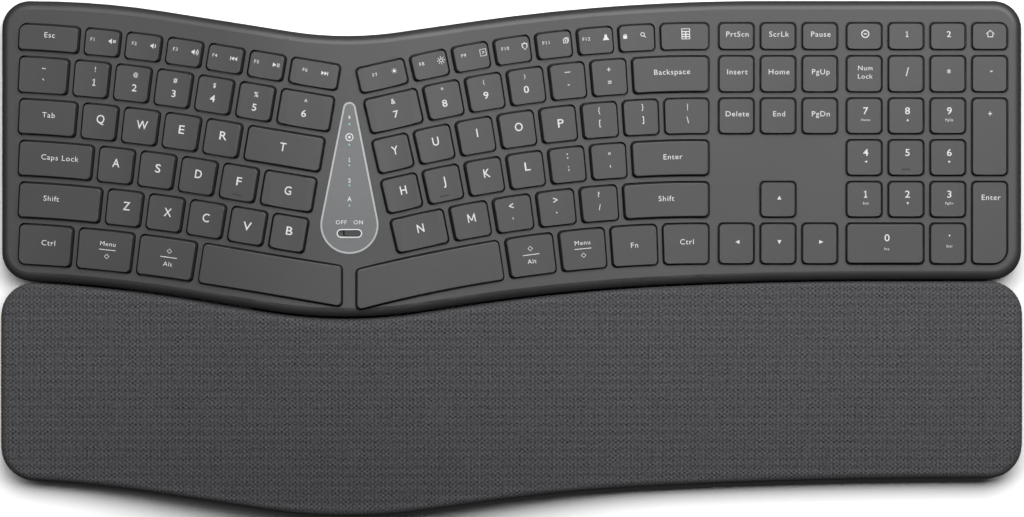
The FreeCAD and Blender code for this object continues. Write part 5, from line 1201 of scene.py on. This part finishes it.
@dataclass
class IndicatorPanel:
    """The teardrop plate between the halves: its edge and slot rim with painted highlights, prints, light pipes and
    power slider.
    """

    finishes: Finishes
    printer: Printer = field(default_factory=Printer)
    x: float = -73.6
    tip_y: float = 71.1
    foot_y: float = 1.9
    tip_r: float = 3.0
    foot_r: float = 13.3
    edge_start: float = 0.15
    edge_width: float = 0.75
    slot_y: float = 11.3
    slot_length: float = 10.5
    slot_width: float = 2.9
    rim_width: float = 0.5
    prints: tuple[tuple[str | Icon, float, float, float], ...] = (
        (Icon.BOLT, 0.0, 64.0, 2.2), (Icon.TARGET, 0.0, 55.0, 3.6), (Icon.ONE, 0.0, 44.8, 1.9), ("2", 0.0, 35.4, 1.9),
        ("A", 0.0, 27.0, 2.2), ("OFF", -3.7, 16.4, 1.9), ("ON", 4.0, 16.4, 1.9))

    def teardrop(self, inset: float) -> Loop:
        """The plate's outline, moved inwards.

        Args:
            inset: how far, in millimetres.

        Returns:
            Its places, around the plate.
        """
        foot_r, tip_r = self.foot_r - inset, self.tip_r - inset
        foot_y, tip_y = self.foot_y + self.foot_r, self.tip_y - self.tip_r
        lean = asin((foot_r - tip_r) / (tip_y - foot_y))
        around_foot = [(self.x + foot_r * cos(a), foot_y + foot_r * sin(a))
                       for a in steps(pi - lean, 2 * pi + lean, 40)]
        side = [(around_foot[-1][0] + (self.x + tip_r * cos(lean) - around_foot[-1][0]) * s,
                 around_foot[-1][1] + (tip_y + tip_r * sin(lean) - around_foot[-1][1]) * s)
                for s in steps(0.1, 0.9, 8)]
        around_tip = [(self.x + tip_r * cos(a), tip_y + tip_r * sin(a)) for a in steps(lean, pi - lean, 12)]
        return around_foot + side + around_tip + [(2 * self.x - x, y) for x, y in reversed(side)]

    def slot(self, grow: float) -> Loop:
        """The slot's outline, moved outwards.

        Args:
            grow: how far, in millimetres.

        Returns:
            Its places, around the slot.
        """
        half = (self.slot_length - self.slot_width) / 2
        r = self.slot_width / 2 + grow
        right = [(self.x + half + r * cos(a), self.slot_y + r * sin(a)) for a in steps(-pi / 2, pi / 2, 12)]
        return right + [(2 * self.x - x, 2 * self.slot_y - y) for x, y in right]

    def ring(self, name: str, outer: Loop, inner: Loop, material: bpy.types.Material) -> None:
        """Adds a thin ring that lies on the plate.

        Args:
            name: the piece's name.
            outer: its outer outline.
            inner: its inner outline, with as many places.
            material: what it is made of.
        """
        surface = surface_of("indicator_panel")
        vertices = []
        for loop in (outer, inner):
            for x, y in loop:
                hit, normal, _, _ = surface.ray_cast(Vector((x * MM, y * MM, 0.2)), Vector((0, 0, -1)))
                vertices.append(hit + normal * self.printer.lift_mm * MM)
        count = len(outer)
        faces = [[k, (k + 1) % count, count + (k + 1) % count, count + k] for k in range(count)]
        mesh_piece(name, vertices, faces, material, "frame")

    def build(self) -> None:
        """Dresses the plate and adds its prints and the painted highlights along its edge and slot rim."""
        dress("indicator_panel", self.finishes.panel)
        dress("indicator_lenses", self.finishes.lenses)
        dress("power_slider", self.finishes.slider)
        # Painted highlight: a lighter ring along the plate's rounded edge
        self.ring("panel_edge", self.teardrop(self.edge_start), self.teardrop(self.edge_start + self.edge_width),
                  self.finishes.panel_edge_highlight)
        # Painted highlight: a pale ring around the slot where its bevel catches the light, in the pale ink's colour
        self.ring("slot_rim_painted_highlight", self.slot(self.rim_width + 0.05), self.slot(0.05), self.finishes.pale_ink_and_highlight)
        vertices: list[Vector] = []
        faces: list[list[int]] = []
        surface = surface_of("indicator_panel")
        for what, x, y, height in self.prints:
            self.printer.lay((Mark(what, x, y, height),), self.x, 0.0, 0.0, surface, vertices, faces)
        mesh_piece("panel_prints", vertices, faces, self.finishes.pale_ink_and_highlight, "frame", smooth=False)


# Case, inside and underside

@dataclass
class CaseShell:
    """The upper and the lower case shell and the battery door."""

    finishes: Finishes
    nodes: tuple[str, ...] = ("top_case", "bottom_case", "battery_door")

    def build(self) -> None:
        """Dresses the shells."""
        for node in self.nodes:
            dress(node, self.finishes.case)


@dataclass
class Underside:
    """What touches or faces the desk: palm rest base, tilt legs, feet and screws."""

    finishes: Finishes

    def build(self) -> None:
        """Dresses the pieces of the underside."""
        for node in ("palm_rest_base", "left_tilt_leg", "right_tilt_leg"):
            dress(node, self.finishes.case)
        dress("rubber_feet", self.finishes.rubber)
        dress("tilt_leg_pins", self.finishes.wire)
        dress("case_screws", self.finishes.black_zinc)


@dataclass
class Mechanism:
    """What lies under the caps and in the battery bay."""

    finishes: Finishes
    # A key goes down by 1.8 mm over domes and links 4.1 mm high, which then keep this share of their height
    pressed_share: float = 0.54

    def build(self) -> None:
        """Dresses the pieces inside."""
        inside = {
            "key_plate": self.finishes.sheet_steel, "membrane": self.finishes.gap_shade_film,
            "power_switch": self.finishes.black_plastic,
            "circuit_boards": self.finishes.laminate, "ribbon_cable": self.finishes.film,
            "battery_cells": self.finishes.sleeve, "battery_contacts": self.finishes.nickel,
        }
        for node, material in inside.items():
            dress(node, material)
        keys = [(joint, (low + high) / 2 * MM) for joint in frame["joints"] if joint["name"].endswith("_press")
                for low, high in solids_of(joint["child"].removesuffix("_body"))]
        self.sprung("rubber_domes", self.finishes.silicone, keys)
        self.sprung("scissor_links", self.finishes.nylon, keys)
        self.sprung("stabiliser_bars", self.finishes.wire, keys)

    def sprung(self, node: str, material: bpy.types.Material, keys: list[tuple[dict, Vector]]) -> None:
        """Makes what gives way under the caps, one piece for each joint.

        Args:
            node: the CAD node that the pieces stand for.
            material: what it is made of.
            keys: the joint and the middle of each cap, in metres.
        """
        groups: dict[str, tuple[dict, list[Vector], list[list[int]]]] = {}
        for points, faces in parts_of(node):
            middle = sum(points, Vector()) / len(points)
            joint, _ = min(keys, key=lambda key: (key[1] - middle).xy.length)
            _, vertices, joined = groups.setdefault(joint["name"], (joint, [], []))
            joined.extend([i + len(vertices) for i in face] for face in faces)
            vertices.extend(points)
        for name, (joint, vertices, faces) in groups.items():
            piece = mesh_piece(f"{name.removesuffix('_press')}_{node}", vertices, faces, material, "frame",
                               smooth=False)
            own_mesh(piece)
            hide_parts(node)


# Studio

@dataclass(frozen=True)
class Softbox:
    """A rectangular lamp that faces down: its middle in metres, its width, depth and power."""

    name: str
    place: tuple[float, float, float]
    width: float
    depth: float
    power: float

    def build(self) -> None:
        """Hangs the lamp."""
        light = bpy.data.lights.new(self.name, "AREA")
        light.shape = "RECTANGLE"
        light.size = self.width
        light.size_y = self.depth
        light.energy = self.power
        lamp = bpy.data.objects.new(self.name, light)
        lamp.location = self.place
        bpy.context.scene.collection.objects.link(lamp)


@dataclass
class Studio:
    """A white table under softboxes, seen straight from above through a long lens."""

    # The photograph is 1024 pixels wide, and each covers this much of the keyboard
    mm_per_pixel: float = 0.455
    width_px: int = 1024
    centre: tuple[float, float] = (0.23, -0.1)
    focus_z_mm: float = 30.0
    lens_mm: float = 600.0
    sensor_mm: float = 36.0
    # The light comes from above and behind, so that what faces the front falls dark. The right-hand slopes
    # mirror the bright box, the left-hand ones only the weak one
    softboxes: tuple[Softbox, ...] = (Softbox("main_box", (0.55, 0.9, 1.3), 2.0, 1.5, 55.0),
                                      Softbox("left_box", (-1.0, 0.8, 1.3), 1.0, 1.4, 13.0))
    surround: float = 0.03
    # Grey of the table for the light that it throws back, and its half width in metres
    table_dark: float = 0.05
    table_half: float = 4.0
    # The camera sees from the first to the second distance, in metres
    clip: tuple[float, float] = (0.1, 100.0)

    def build(self) -> None:
        """Makes the table, the lamps, the surroundings and the camera."""
        self.table()
        for box in self.softboxes:
            box.build()
        self.world()
        self.camera()
        scene = bpy.context.scene
        scene.view_settings.view_transform = "Standard"

    def table(self) -> None:
        """Makes a large white table top."""
        material, tree, shader = new_material("white_laminate_table",
                                              {"Roughness": 0.8, "Specular IOR Level": 0.1})
        seen = add_node(tree, "ShaderNodeLightPath").outputs["Is Camera Ray"]
        # White where the camera sees it, and grey for the light that it throws back at the keyboard
        tone = add_node(tree, "ShaderNodeMix", {"data_type": "RGBA"}, {"Factor": seen})
        tone.inputs["A"].default_value = (self.table_dark, self.table_dark, self.table_dark, 1.0)
        tone.inputs["B"].default_value = (1.0, 1.0, 1.0, 1.0)
        tree.links.new(tone.outputs["Result"], shader.inputs["Base Color"])
        mesh = bpy.data.meshes.new("table")
        half = self.table_half
        mesh.from_pydata([(-half, -half, 0), (half, -half, 0), (half, half, 0), (-half, half, 0)], [],
                         [(0, 1, 2, 3)])
        mesh.materials.append(material)
        table = bpy.data.objects.new("table", mesh)
        bpy.context.scene.collection.objects.link(table)

    def world(self) -> None:
        """Sets dim surroundings, white where the camera sees them."""
        world = bpy.data.worlds.new("studio")
        world.use_nodes = True
        tree = world.node_tree
        tree.nodes.clear()
        seen = add_node(tree, "ShaderNodeLightPath").outputs["Is Camera Ray"]
        level = add_node(tree, "ShaderNodeMapRange", {"To Min": self.surround, "To Max": 1.0}, {"Value": seen})
        background = add_node(tree, "ShaderNodeBackground", {"Color": (1.0, 1.0, 1.0, 1.0)},
                              {"Strength": level.outputs["Result"]})
        add_node(tree, "ShaderNodeOutputWorld", links={"Surface": background.outputs["Background"]})
        bpy.context.scene.world = world

    def camera(self) -> None:
        """Places the camera over the middle of the photograph."""
        data = bpy.data.cameras.new("camera")
        data.lens = self.lens_mm
        data.sensor_width = self.sensor_mm
        distance = self.width_px * self.mm_per_pixel * self.lens_mm / self.sensor_mm
        data.clip_start, data.clip_end = self.clip
        camera = bpy.data.objects.new("camera", data)
        camera.location = (self.centre[0] * MM, self.centre[1] * MM, (distance + self.focus_z_mm) * MM)
        bpy.context.scene.collection.objects.link(camera)
        bpy.context.scene.camera = camera


def main() -> None:
    """Builds the keyboard's dress and the studio, in order."""
    logging.basicConfig(level=logging.INFO, format="%(name)s: %(message)s")
    finishes = Finishes()
    CaseShell(finishes).build()
    KeyField(finishes).build()
    IndicatorPanel(finishes).build()
    PalmCushion(finishes).build()
    Underside(finishes).build()
    Mechanism(finishes).build()
    Studio().build()


if __name__ == "__main__":
    main()
